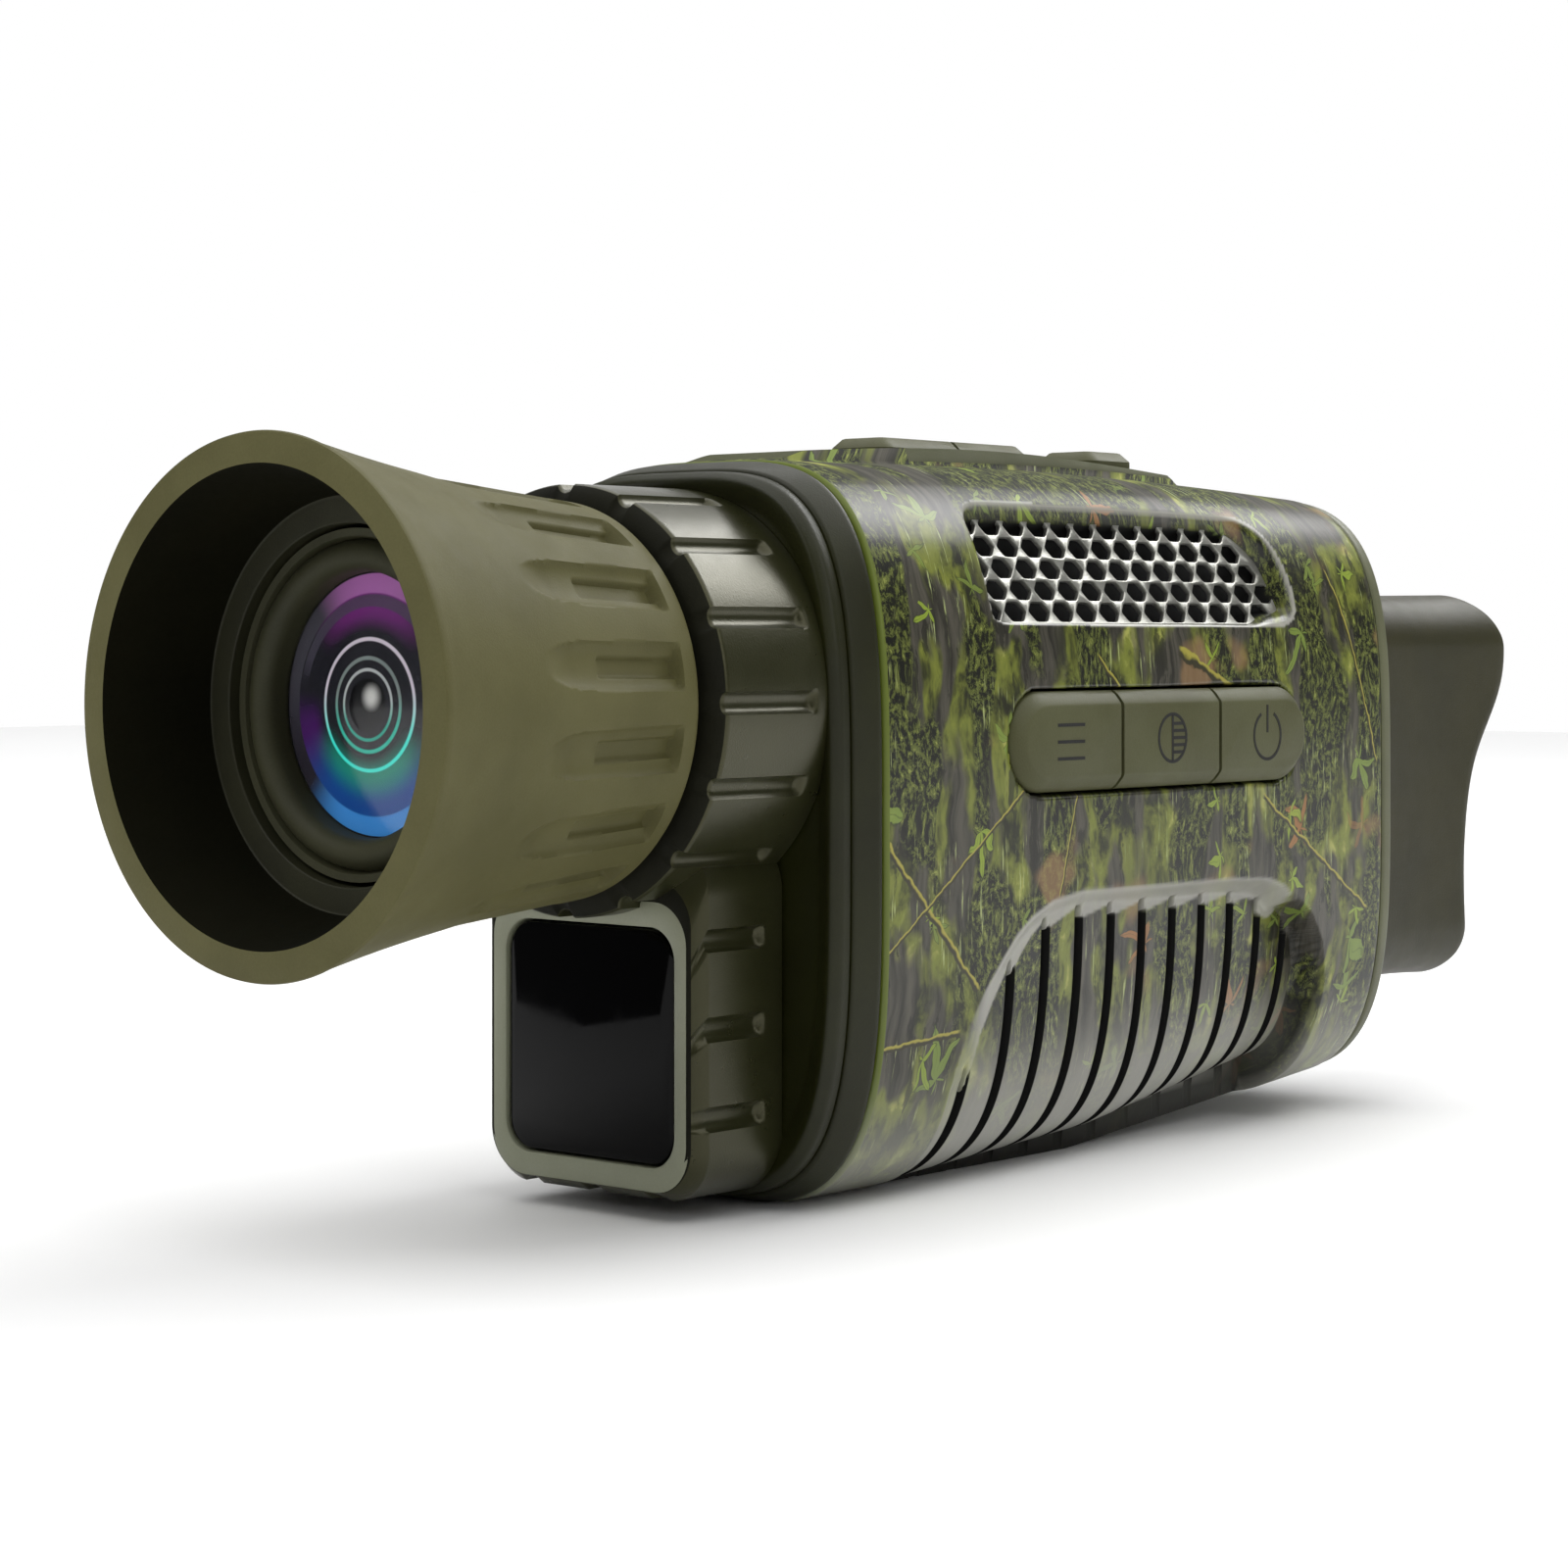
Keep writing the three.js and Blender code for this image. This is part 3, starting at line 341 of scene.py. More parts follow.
def painted_lens_reflections(name):
    """Painted reflections in the objective, glowing a little: a violet arc above, teal and blue below."""
    n = Nodes(name)
    x, _, z = n.split(n.here())
    height = n.mul(n.sub(z, AXIS_HEIGHT * MM), 1000.0)
    across = n.mul(x, 1000.0)
    radius = n.length(height, across)
    up = n.math("DIVIDE", height, n.add(radius, 0.3))
    below = n.smooth(up, -0.25, -0.85)
    # From the middle out, painted reflections: dark glass, then violet above and teal to blue below.
    colour = n.mix(n.noise(n.here(), 300.0), "17171b", "24242a")
    arc = n.mul(n.smooth(up, 0.55, 0.98), n.smooth(radius, 6.4, 8.6))
    colour = n.mix(n.mul(arc, 0.9), colour, "6b2a70")
    left = n.math("DIVIDE", across, n.add(radius, 0.3))
    patch = n.mul(n.smooth(up, 0.15, -0.25), n.smooth(left, -0.5, -0.9))
    sides = n.mul(n.smooth(radius, 5.8, 8.0), patch)
    colour = n.mix(n.mul(sides, 0.8), colour, "451a5e")
    low = n.mix(n.smooth(radius, 6.2, 9.2), "1d8270", "174488")
    glow = n.mul(below, n.smooth(radius, 4.4, 6.6))
    colour = n.mix(glow, colour, low)
    # Outer crescents, painted reflections too.
    rim = n.mix(n.smooth(up, -0.5, 0.4), "26232b", "3c3b42")
    rim = n.mix(n.smooth(up, 0.7, 0.98), rim, "9a609b")
    rim = n.mix(n.smooth(up, -0.6, -0.92), rim, "3a82c8")
    fall = n.mix(n.smooth(radius, 11.8, 12.15), rim, "1c1b1c")
    colour = n.mix(n.smooth(radius, 9.9, 10.15), colour, fall)
    band = n.mul(n.smooth(radius, 8.7, 8.9), n.smooth(radius, 10.0, 9.8))
    band = n.mul(band, n.smooth(up, 0.1, 0.5))
    colour = n.mix(n.mul(band, 0.75), colour, "43404c")
    for ring, width, top, bottom in LENS_RING_REFLECTIONS:
        distance = n.math("ABSOLUTE", n.sub(radius, ring))
        line = n.mix(n.smooth(up, 0.3, -0.6), top, bottom)
        colour = n.mix(n.smooth(distance, width, width * 0.4), colour, line)
    # The painted reflections glow a little, though no lamp is here.
    n.set(Base_Color=colour, Emission_Color=colour, Emission_Strength=0.45, Roughness=0.15)
    return n.material


def pupil(name):
    """The dark middle of the objective, with a round glint painted above and right of its centre."""
    n = Nodes(name)
    x, _, z = n.split(n.here())
    across = n.sub(x, 0.6 * MM)
    height = n.sub(z, (AXIS_HEIGHT + 0.7) * MM)
    glint = n.smooth(n.length(height, across), 1.5 * MM, 0.2 * MM)
    depth = n.mix(n.noise(n.here(), 300.0), "050506", "0c0c0e")
    colour = n.mix(n.mul(glint, 0.8), depth, "d6d6d2")
    # The colour glows a little, so the painted glint shows without a lamp.
    n.set(Base_Color=colour, Emission_Color=colour, Emission_Strength=0.4, Roughness=0.2)
    return n.material


def twig(n, colour, flat, start, end, width, bark, lit):
    """A straight twig on the unrolled shell, lit along its upper edge."""
    along, around, _ = n.split(flat)
    (y0, z0), (y1, z1) = start, end
    s0, s1 = around_at(z0), around_at(z1)
    length = math.hypot(y1 - y0, s1 - s0)
    dy, ds = (y1 - y0) / length, (s1 - s0) / length
    from_y, from_s = n.sub(along, y0), n.sub(around, s0)
    run = n.add(n.mul(from_y, dy), n.mul(from_s, ds))
    side = n.sub(n.mul(from_s, dy), n.mul(from_y, ds))
    bend = n.mul(n.sub(n.noise(flat, 0.5, 2.0), 0.5), width * 1.6)
    side = n.add(side, bend)
    ends = n.mul(n.smooth(run, -0.5, 0.3), n.smooth(run, length + 0.5, length - 0.3))
    near = n.smooth(n.math("ABSOLUTE", side), width * 0.6, width * 0.4)
    tint = n.mix(n.smooth(side, -0.1 * width, 0.25 * width), bark, lit)
    return n.mix(n.mul(near, ends), colour, tint)


def leaves(n, colour, flat, size, offset, share, tints):
    """Lobed leaves, one to a cell of the pattern, each turned its own way."""
    around = n.vector("ADD", flat, (offset, offset, 0.0))
    cell = n.node("TexVoronoi", {"Vector": around, "Scale": 0.42 / size, "Randomness": 0.85},
                  voronoi_dimensions="2D")
    x, y, _ = n.split(n.vector("SUBTRACT", around, cell.outputs["Position"]))
    chance, turn, hue = n.split(cell.outputs["Color"])
    turned_by = n.mul(turn, 6.28)
    angle = n.add(n.math("ARCTAN2", y, x), turned_by)
    lobe = n.sub(1.0, n.math("ABSOLUTE", n.math("SINE", n.mul(angle, 2.5))))
    longest = n.add(0.68, n.mul(n.math("COSINE", angle), 0.32))
    reach = n.mul(n.add(0.3, n.mul(lobe, 0.7)), longest)
    ragged = n.mul(n.noise(flat, 1.1, 3.0), 0.3 * size)
    reach = n.sub(n.mul(reach, 1.15 * size), ragged)
    inside = n.sub(reach, n.length(x, y))
    leaf = n.mul(n.smooth(inside, -0.1, 0.25), n.smooth(chance, share, share - 0.02))
    tint = n.mix(n.smooth(hue, 0.66, 0.7), tints[0], tints[1])
    tint = n.mix(n.smooth(inside, 0.4, 0.1), tint, tints[2])
    tint = n.mix(n.mul(n.smooth(lobe, 0.93, 0.98), 0.5), tint, "3f4a20")
    return n.mix(n.mul(leaf, 0.9), colour, tint)


def woodland(n, p):
    """Trunks, blurred foliage, rough bark and torn shadows, and the noise that flecks the bark."""
    upright = n.vector("MULTIPLY", p, (1.0, 0.3, 1.0))
    # Smooth trunks, streaked lengthwise.
    streak = n.noise(n.vector("MULTIPLY", p, (1.0, 0.1, 1.0)), 0.9, 5.0, 0.6)
    colour = n.mix(n.smooth(streak, 0.3, 0.68), "201f18", "4f4c42")
    # Foliage out of focus between the trunks.
    haze = n.noise(n.vector("MULTIPLY", p, (1.0, 0.36, 1.0)), 0.2, 2.0, 0.5)
    blob = n.noise(n.vector("MULTIPLY", p, (1.0, 0.6, 1.0)), 0.27, 4.0, 0.6)
    foliage = n.mix(n.smooth(blob, 0.36, 0.58), "1f210f", "70772f")
    foliage = n.mix(n.smooth(blob, 0.58, 0.68), foliage, "9b9d50")
    colour = n.mix(n.smooth(haze, 0.46, 0.56), colour, foliage)
    # Rough bark: fine lime flecks on near black.
    bark_place = n.noise(n.vector("ADD", upright, (37.0, 11.0, 0.0)), 0.12, 2.0, 0.4)
    fleck = n.noise(n.vector("MULTIPLY", p, (1.0, 0.6, 1.0)), 1.3, 6.0, 0.78, 0.3)
    bark = n.mix(n.smooth(fleck, 0.47, 0.54), "0f1009", "555c29")
    bark = n.mix(n.smooth(fleck, 0.57, 0.66), bark, "8c9348")
    colour = n.mix(n.smooth(bark_place, 0.5, 0.54), colour, bark)
    # Torn shadows.
    torn = n.noise(n.vector("ADD", upright, (71.0, 29.0, 0.0)), 0.3, 6.0, 0.66)
    colour = n.mix(n.mul(n.smooth(torn, 0.56, 0.6), 0.75), colour, "191911")
    return colour, fleck


def undergrowth(n, flat, colour):
    """Dry needles, as fine slanting strokes, and rust-brown patches."""
    slant = n.node("Mapping", {"Vector": flat, "Rotation": (0.0, 0.0, 0.75), "Scale": (2.3, 0.16, 1.0)})
    needle = n.noise(slant.outputs["Vector"], 1.0, 4.0, 0.65)
    needle_place = n.noise(n.vector("ADD", flat, (5.0, 61.0, 0.0)), 0.09, 2.0)
    needles = n.mul(n.smooth(needle, 0.58, 0.66), n.smooth(needle_place, 0.5, 0.6))
    colour = n.mix(n.mul(needles, 0.8), colour, "a9b376")
    rust = n.smooth(n.noise(n.vector("ADD", flat, (83.0, 7.0, 0.0)), 0.085, 2.0), 0.63, 0.72)
    return n.mix(n.mul(rust, 0.6), colour, "8d6f4a")


def painted_detail_light(n, flat, colour):
    """The print with painted light on its moulded detail: a painted sheen low on the body, a painted
    highlight on the ledge and the vent's edge, and painted shade, near black, in the slots and recesses.
    """
    dark, pale, _ = n.split(n.node("Attribute", {}, attribute_name="tone").outputs["Vector"])
    # Painted sheen, paler towards the bottom of the body.
    low = n.mul(n.smooth(n.split(flat)[1], LOW_SHEEN_FROM, LOW_SHEEN_TO), 0.5)
    colour = n.mix(low, colour, "a9a99f")
    # Painted highlight, then painted shade.
    colour = n.mix(n.mul(pale, 0.85), colour, "a3a29a")
    return n.mix(dark, colour, "030302"), dark


def camouflage(name):
    """Printed woodland with leaves and twigs, under a satin coat that the roof goes without."""
    n = Nodes(name)
    flat = n.printed()
    wander = n.node("TexNoise", {"Vector": flat, "Scale": 0.1, "Detail": 3.0}).outputs["Color"]
    shift = n.vector("SUBTRACT", wander, (0.5, 0.5, 0.5))
    p = n.vector("ADD", flat, n.vector("MULTIPLY", shift, (4.0, 9.0, 0.0)))
    colour, fleck = woodland(n, p)
    colour = undergrowth(n, flat, colour)
    colour = leaves(n, colour, p, 4.6, 0.0, 0.36, ("73863a", "94673a", "262b14"))
    colour = leaves(n, colour, p, 3.0, 57.0, 0.22, ("869a34", "6f8038", "20240f"))
    for start, end, width in TWIGS:
        colour = twig(n, colour, flat, start, end, width, "33301f", "9c9440")
    edge = n.smooth(n.split(flat)[0], SHELL_FRONT + 0.6, SHELL_FRONT + 0.3)
    colour = n.mix(edge, colour, "5f6b2a")
    colour, dark = painted_detail_light(n, flat, colour)
    rough = n.add(0.3, n.mul(fleck, 0.12))
    height = n.sub(n.split(n.here())[2], AXIS_HEIGHT * MM)
    roof = n.smooth(height, 17.0 * MM, 23.0 * MM)
    rough = n.add(rough, n.mul(n.math("MAXIMUM", dark, roof), 0.4))
    n.set(Base_Color=colour, Roughness=rough, Normal=n.bump(fleck, 0.02))
    bare = n.sub(1.0, n.math("MAXIMUM", dark, roof))
    n.set(Coat_Weight=n.mul(bare, 0.3), Coat_Roughness=0.16, Specular_IOR_Level=0.2)
    return n.material


# ------------------------------------------------------------------ body section

SHELL_LOW, SHELL_HIGH = span("main_shell")
SHELL_FRONT, SHELL_REAR = SHELL_LOW[1], SHELL_HIGH[1]
REAR_FRAME_FRONT = span("rear_frame")[0][1]
BODY_REAR = SHELL_REAR + 3.1
BASE = SHELL_LOW[2]
HALF_WIDTH = 23.0
NARROWING = 1.2          # the tail is narrower than the front by this on each side
ROOF = 23.5
ROOF_DROP = 1.1          # and its roof lower
ROOF_CROWN = 1.0         # extra height of the roof near the middle
KEEL = -49.4
KEEL_RISE = 4.2          # how far the tail lifts off the base
KEEL_RISE_START = 105
EXPONENT = 3.7
MIDDLE = np.array(100.0)  # the place along the body whose arc length stands for every section's


def section(y):
    """Half width, half height and centre height of the body at a place along it."""
    along = np.clip((y - SHELL_FRONT) / (BODY_REAR - SHELL_FRONT), 0, 1)
    roof = ROOF - ROOF_DROP * along + ROOF_CROWN * np.sin(np.pi * along)
    rise = np.clip((y - KEEL_RISE_START) / (BODY_REAR - KEEL_RISE_START), 0, 1)
    keel = KEEL + KEEL_RISE * rise
    return HALF_WIDTH - NARROWING * along ** 2, (roof - keel) / 2, (roof + keel) / 2


def unit_section():
    """The superellipse with its arc length in millimetres, from the bottom centre by way of +X."""
    angle = np.linspace(-np.pi / 2, 1.5 * np.pi, 40001)
    power = 2 / EXPONENT
    x = np.sign(np.cos(angle)) * np.abs(np.cos(angle)) ** power
    z = np.sign(np.sin(angle)) * np.abs(np.sin(angle)) ** power
    half_width, half_height, _ = section(MIDDLE)
    steps = np.hypot(np.diff(x) * half_width, np.diff(z) * half_height)
    return np.concatenate([[0], np.cumsum(steps)]), x, z


ARC, UNIT_X, UNIT_Z = unit_section()


def body_loop(y, inset, arc):
    """The body's outline at y, drawn in by inset, at those places along its arc."""
    half_width, half_height, centre = section(np.asarray(y, float))
    x = np.interp(arc, ARC, UNIT_X) * (half_width - inset)
    z = np.interp(arc, ARC, UNIT_Z) * (half_height - inset) + centre
    return np.stack([x, np.full_like(x, y), np.maximum(z, BASE)], 1)


def body_rings(profile, count=260):
    """Rings of the body's outline for a list of (inset, y)."""
    arc = np.linspace(0, ARC[-1], count, endpoint=False)
    return [body_loop(y, inset, arc) for inset, y in profile]


def around_at(z):
    """The place along the body's outline, on the +X side, that lies at this height."""
    _, half_height, centre = section(MIDDLE)
    on_right = slice(0, len(ARC) // 2)
    return float(np.interp((z - centre) / half_height, UNIT_Z[on_right], ARC[on_right]))


# Painted sheen low on the body: where it starts and where it is full.
LOW_SHEEN_FROM, LOW_SHEEN_TO = around_at(-34.0), around_at(-46.0)

# Twigs of the print, each from one place (y, z) of the +X side to another, and its width.
TWIGS = [
    ((58.0, -13.5), (72.5, -28.5), 0.75),
    ((58.0, -33.2), (70.0, -32.6), 0.6),
    ((86.0, -20.0), (89.5, -8.0), 0.35),
    ((58.5, -24.0), (84.0, -6.5), 0.4),
    ((108.0, 4.5), (125.0, -3.0), 1.1),
    ((93.0, 4.0), (97.5, 0.0), 0.5),
    ((124.0, -12.0), (146.0, -27.0), 0.6),
    ((140.0, 14.0), (148.0, -9.0), 0.5),
]


# ------------------------------------------------------------------ main shell

def ease(value, width):
    """0 to 1 as value goes from 0 to width."""
    t = np.clip(value / width, 0, 1)
    return t * t * (3 - 2 * t)


def line_distance(points, line):
    """Distance from each of the points, (n, 2), to an open line."""
    best = np.full(len(points), 1e9)
    for a, b in zip(line[:-1], line[1:]):
        a, b = np.array(a, float), np.array(b, float)
        t = np.clip(((points - a) @ (b - a)) / ((b - a) @ (b - a)), 0, 1)
        best = np.minimum(best, np.linalg.norm(points - (a + t[:, None] * (b - a)), axis=1))
    return best


def is_inside(points, polygon):
    result = np.zeros(len(points), bool)
    for (ax, ay), (bx, by) in zip(polygon, polygon[1:] + polygon[:1]):
        crosses = (ay > points[:, 1]) != (by > points[:, 1])
        run = (bx - ax) * (points[:, 1] - ay) / ((by - ay) or 1e-9) + ax
        result ^= crosses & (points[:, 0] < run)
    return result


def inside_rounded(a, b, low, high, radius):
    """How far inside a rounded rectangle each place is; negative outside."""
    centre_a, centre_b = (low[0] + high[0]) / 2, (low[1] + high[1]) / 2
    qa = np.abs(a - centre_a) - ((high[0] - low[0]) / 2 - radius)
    qb = np.abs(b - centre_b) - ((high[1] - low[1]) / 2 - radius)
    outside = np.hypot(np.maximum(qa, 0), np.maximum(qb, 0))
    return radius - outside - np.minimum(np.maximum(qa, qb), 0)


GRIP_PITCH = 6.17
GRIP_FIRST = 72.6
GRIP_SLOTS = 11
GRIP_LEDGE = [
    (70.2, -37), (71.5, -32), (73.8, -28.6), (76.5, -25.6), (78.8, -23.3), (81.3, -21.7), (84.8, -20.3),
    (90, -19.6), (118.4, -19.9), (125.5, -20.3), (128.6, -21.2), (130.7, -22.6),
]
GRIP_END = [(130.7, -22.6), (134.4, -25.1), (136.7, -28.2), (137.8, -32), (138, -37), (138, -60)]
GRIP_INNER_X = 9.5
GRIP_FRONT = 71          # the recess deepens from here, over this length, by GRIP_DEEPENING
GRIP_RUN = 67
GRIP_DEEPENING = 3.7
SLOT_HALF = 0.78
SLOT_DEPTH = 2.2
# Grid lines of the shell beside a slot's middle line, closest at its edge.
SLOT_EDGES = np.array([0.0, 0.3] + [SLOT_HALF + step for step in (-0.2, -0.1, 0.0, 0.1, 0.3)])


def grip_relief(x, y, z):
    """Depth of the grip recess with its slots, the painted shade in the slots, on the end wall and on the
    step under it, and the painted highlight on its ledge and low on the body.
    """
    flat = np.stack([y, z], 1)
    outline = GRIP_LEDGE + GRIP_END[1:] + [(70.2, -60)]
    inside = is_inside(flat, outline)
    from_ledge = line_distance(flat, GRIP_LEDGE)
    from_end = line_distance(flat, GRIP_END)
    phase = ((y - GRIP_FIRST) / GRIP_PITCH) % 1.0
    ledge = 3.4 - 1.3 * phase
    floor = 0.3 + GRIP_DEEPENING * np.clip((y - GRIP_FRONT) / GRIP_RUN, 0, 1)
    depth = floor * ease(from_ledge, 2.1) * ease(from_end, 0.6)
    number = np.clip(np.round((y - GRIP_FIRST) / GRIP_PITCH), 0, GRIP_SLOTS - 1)
    across = np.abs(y - GRIP_FIRST - number * GRIP_PITCH)
    slot = ease(SLOT_HALF - across, 0.15) * ease(from_ledge - ledge + 0.4, 0.5)
    slot = slot * ease(from_end - 0.9, 0.3)
    depth = depth + SLOT_DEPTH * slot
    # Painted shade fills each slot.
    shade = ease(SLOT_HALF + 0.12 - across, 0.1) * ease(from_ledge - ledge + 0.3, 0.3)
    shade = shade * ease(from_end - 0.8, 0.2)
    outer_side = inside * ease(np.abs(x) - GRIP_INNER_X, 0.5)
    # Painted shade: the end wall is darker low down, and so is the step under the body.
    end_wall = ease(1.1 - from_end, 0.3) * (0.05 + 0.7 * ease(-34.5 - z, 1.0))
    step = 0.85 * ease(0.9 - np.abs(np.abs(x) - GRIP_INNER_X), 0.3) * ease(-44.0 - z, 1.0)
    shade = np.maximum(shade * outer_side, np.maximum(end_wall * outer_side, step) * inside)
    # Painted highlight on the ledge, and a painted sheen that grows towards the bottom.
    pale = ease(from_ledge + 0.1, 0.5) * ease(ledge - from_ledge, 0.3) * ease(y - GRIP_FRONT, 4)
    wear_and_low_sheen = 0.7 * ease(-30.0 - z, 12.0)
    return depth * outer_side, shade, np.maximum(pale, wear_and_low_sheen) * ease(from_end - 0.4, 0.6) * inside


VENT_TILT = math.radians(21)
VENT_CENTRE = np.array([19.9, 103.4, 13.6])
VENT_NORMAL = np.array([math.cos(VENT_TILT), 0, math.sin(VENT_TILT)])
VENT_UP = np.array([-math.sin(VENT_TILT), 0, math.cos(VENT_TILT)])
VENT_FLOOR = 3.4
VENT_SHEET = 1.6


def bezier(a, control, b, steps=8):
    t = np.linspace(0, 1, steps, endpoint=False)[:, None]
    a, control, b = (np.array(p, float) for p in (a, control, b))
    return (1 - t) ** 2 * a + 2 * t * (1 - t) * control + t ** 2 * b


def vent_outline(inset=0.0):
    """The vent in the plane of its panel: along the body, and up the panel."""
    half = 6.7 - inset
    front, rear = -28.4 + inset, 28.7 - inset
    return np.concatenate([
        bezier((front + 0.9, -half + 0.6), (front + 1.8, -half), (-24, -half)),
        bezier((-24, -half), (0, -half), (24, -half), 12),
        bezier((24, -half), (rear + 0.3, -half), (rear, -half + 3)),
        bezier((rear, -half + 3), (rear - 0.7, half - 1.2), (22, half - 0.3), 12),
        bezier((22, half - 0.3), (10, half), (0, half)),
        bezier((0, half), (-12, half), (-24, half), 12),
        bezier((-24, half), (front + 0.4, half), (front, half - 3)),
        bezier((front, half - 3), (front + 0.4, -half + 1.5), (front + 0.9, -half + 0.6)),
    ])


def on_vent(outline, depth):
    """Points of an outline on the vent's panel, at a depth under it."""
    outline = np.asarray(outline)
    along = np.outer(outline[:, 0], (0, 1, 0))
    return VENT_CENTRE + along + np.outer(outline[:, 1], VENT_UP) - depth * VENT_NORMAL


BUTTONS = [span(name) for name in ("menu_button", "mode_button", "power_button")]
BUTTON_LOW, BUTTON_HIGH = BUTTONS[0][0], BUTTONS[-1][1]
TOP_KEYS = {name: span(name) for name in ("zoom_in_key", "zoom_out_key", "record_key")}
FLAP_LOW, FLAP_HIGH = span("port_flap")
NUT_LOW, NUT_HIGH = span("tripod_nut")
BAY_FACE = span("port_bay")[0][0] - 0.1
KEY_GAP = 0.3
WELL_DROP = 1.0          # how far the wells go down past their keys
DECK_EDGE = 24.3         # height of the deck under the top keys at its ends
DECK_RISE = 1.5          # and how much higher its middle is
DECK_FRONT, DECK_REAR = 60, 130
DECK_HALF_WIDTH = 7.2


def shell_places():
    """Where the shell's grid lines lie: along it, and around it, closer where it has features."""
    along = [np.arange(SHELL_FRONT, 69, 0.5), np.arange(69, 138, 0.29), np.linspace(138, SHELL_REAR, 24)]
    along = np.concatenate(along)
    slots = GRIP_FIRST + GRIP_PITCH * np.arange(GRIP_SLOTS)
    clear = np.abs(along[:, None] - slots).min(1) > SLOT_EDGES[-1] + 0.12
    lines = np.add.outer(slots, np.concatenate([-SLOT_EDGES, SLOT_EDGES[1:]])).ravel()
    along = np.sort(np.concatenate([along[clear], lines]))
    stops = [0, 14, 88, 107, 119, 138, 212, ARC[-1]]
    pace = [0.5, 0.29, 0.5, 0.3, 0.5, 0.29, 0.5]
    around = [np.arange(a, b, step) for a, b, step in zip(stops[:-1], stops[1:], pace)]
    return along, np.concatenate(around)


def press_deck(x, y, z):
    """Raises the deck under the top keys; also says which places are on it."""
    along = np.clip((y - DECK_FRONT) / (DECK_REAR - DECK_FRONT), 0, 1)
    arch = DECK_EDGE + DECK_RISE * np.sin(np.pi * along)
    on_deck = ease(DECK_HALF_WIDTH - np.abs(x), 0.6) * ease(y - DECK_FRONT, 6)
    on_deck = on_deck * ease(DECK_REAR - y, 1.4) * (z > 15)
    return z + np.maximum(arch - z, 0) * on_deck, ease(on_deck - 0.05, 0.3)


def press_top_wells(x, y, z, shade):
    first, second, third = TOP_KEYS.values()
    for low, high in ((first[0], second[1]), third):
        depth = inside_rounded(x, y, low[:2] - KEY_GAP, high[:2] + KEY_GAP, 2.3)
        well = ease(depth, 0.25) * (z > 15)
        z = z + (low[2] - WELL_DROP - z) * well
        # Painted shade in the well around the keys.
        shade = np.maximum(shade, ease(well - 0.3, 0.3))
    return z, shade


def press_vent(x, y, z, shade, pale):
    """Sinks the vent: a tilted floor behind slopes, widest above and at the rear. Paints shade on the floor
    under the sheet and a highlight along the vent's edge.
    """
    from_centre = np.stack([x, y, z], 1) - VENT_CENTRE
    panel = np.stack([from_centre[:, 1], from_centre @ VENT_UP], 1)
    edges = [tuple(p) for p in vent_outline()]
    near = (x > 5) & (np.abs(panel[:, 0]) < 32) & (np.abs(panel[:, 1]) < 9)
    sink = np.zeros(len(x))
    edge = line_distance(panel[near], edges + edges[:1])
    along, up = panel[near].T
    slope = 0.7 + 2.2 * ease(up - 1.0, 4.0) + 3.2 * ease(along - 19, 6) + 0.7 * ease(-up - 4.0, 1.5)
    in_vent = is_inside(panel[near], edges)
    sink[near] = in_vent * ease(edge, slope)
    # Painted highlight along the vent's edge.
    rim = np.zeros(len(x))
    rim[near] = in_vent * ease(0.75 - edge, 0.4)
    height = from_centre @ VENT_NORMAL + VENT_FLOOR
    x = x - height * sink * VENT_NORMAL[0]
    z = z - height * sink * VENT_NORMAL[2]
    # Painted shade on the floor under the sheet.
    under_sheet = VENT_FLOOR - height * (1 - sink) - VENT_SHEET
    shade = np.maximum(shade, ease(under_sheet, 0.2) * (sink > 0.2))
    return x, z, shade, np.maximum(pale, rim)


def press_side_well(x, y, z, shade):
    low, high = BUTTON_LOW[1:] - KEY_GAP, BUTTON_HIGH[1:] + KEY_GAP
    well = ease(inside_rounded(y, z, low, high, (high[1] - low[1]) / 2), 0.25) * (x > 5)
    # The well gets painted shade.
    return x + (BUTTON_LOW[0] - WELL_DROP - x) * well, np.maximum(shade, ease(well - 0.15, 0.3))


def press_flap_recess(x, y, z, shade):
    """Sinks the flap's recess and the mouth of the bay in it, with painted shade in the mouth; also says
    what is open.
    """
    low, high = FLAP_LOW[1:] - KEY_GAP, FLAP_HIGH[1:] + KEY_GAP
    inside = inside_rounded(y, z, low, high, (high[1] - low[1]) / 2)
    on_left = x < -5
    x = np.where(on_left, x + (FLAP_HIGH[0] + 0.3 - x) * ease(inside, 0.3), x)
    mouth = ease(inside - 2.4 - KEY_GAP, 0.3) * on_left
    x = x + (BAY_FACE - x) * mouth
    return x, np.maximum(shade, mouth), mouth > 0.99


def press_nut_well(x, y, z, shade):
    centre_y = (NUT_LOW[1] + NUT_HIGH[1]) / 2
    well = ease(NUT_HIGH[0] + 0.3 - np.hypot(x, y - centre_y), 0.3) * (z < -40)
    # The well gets painted shade.
    return z + (NUT_HIGH[2] + 0.2 - z) * well, np.maximum(shade, well)


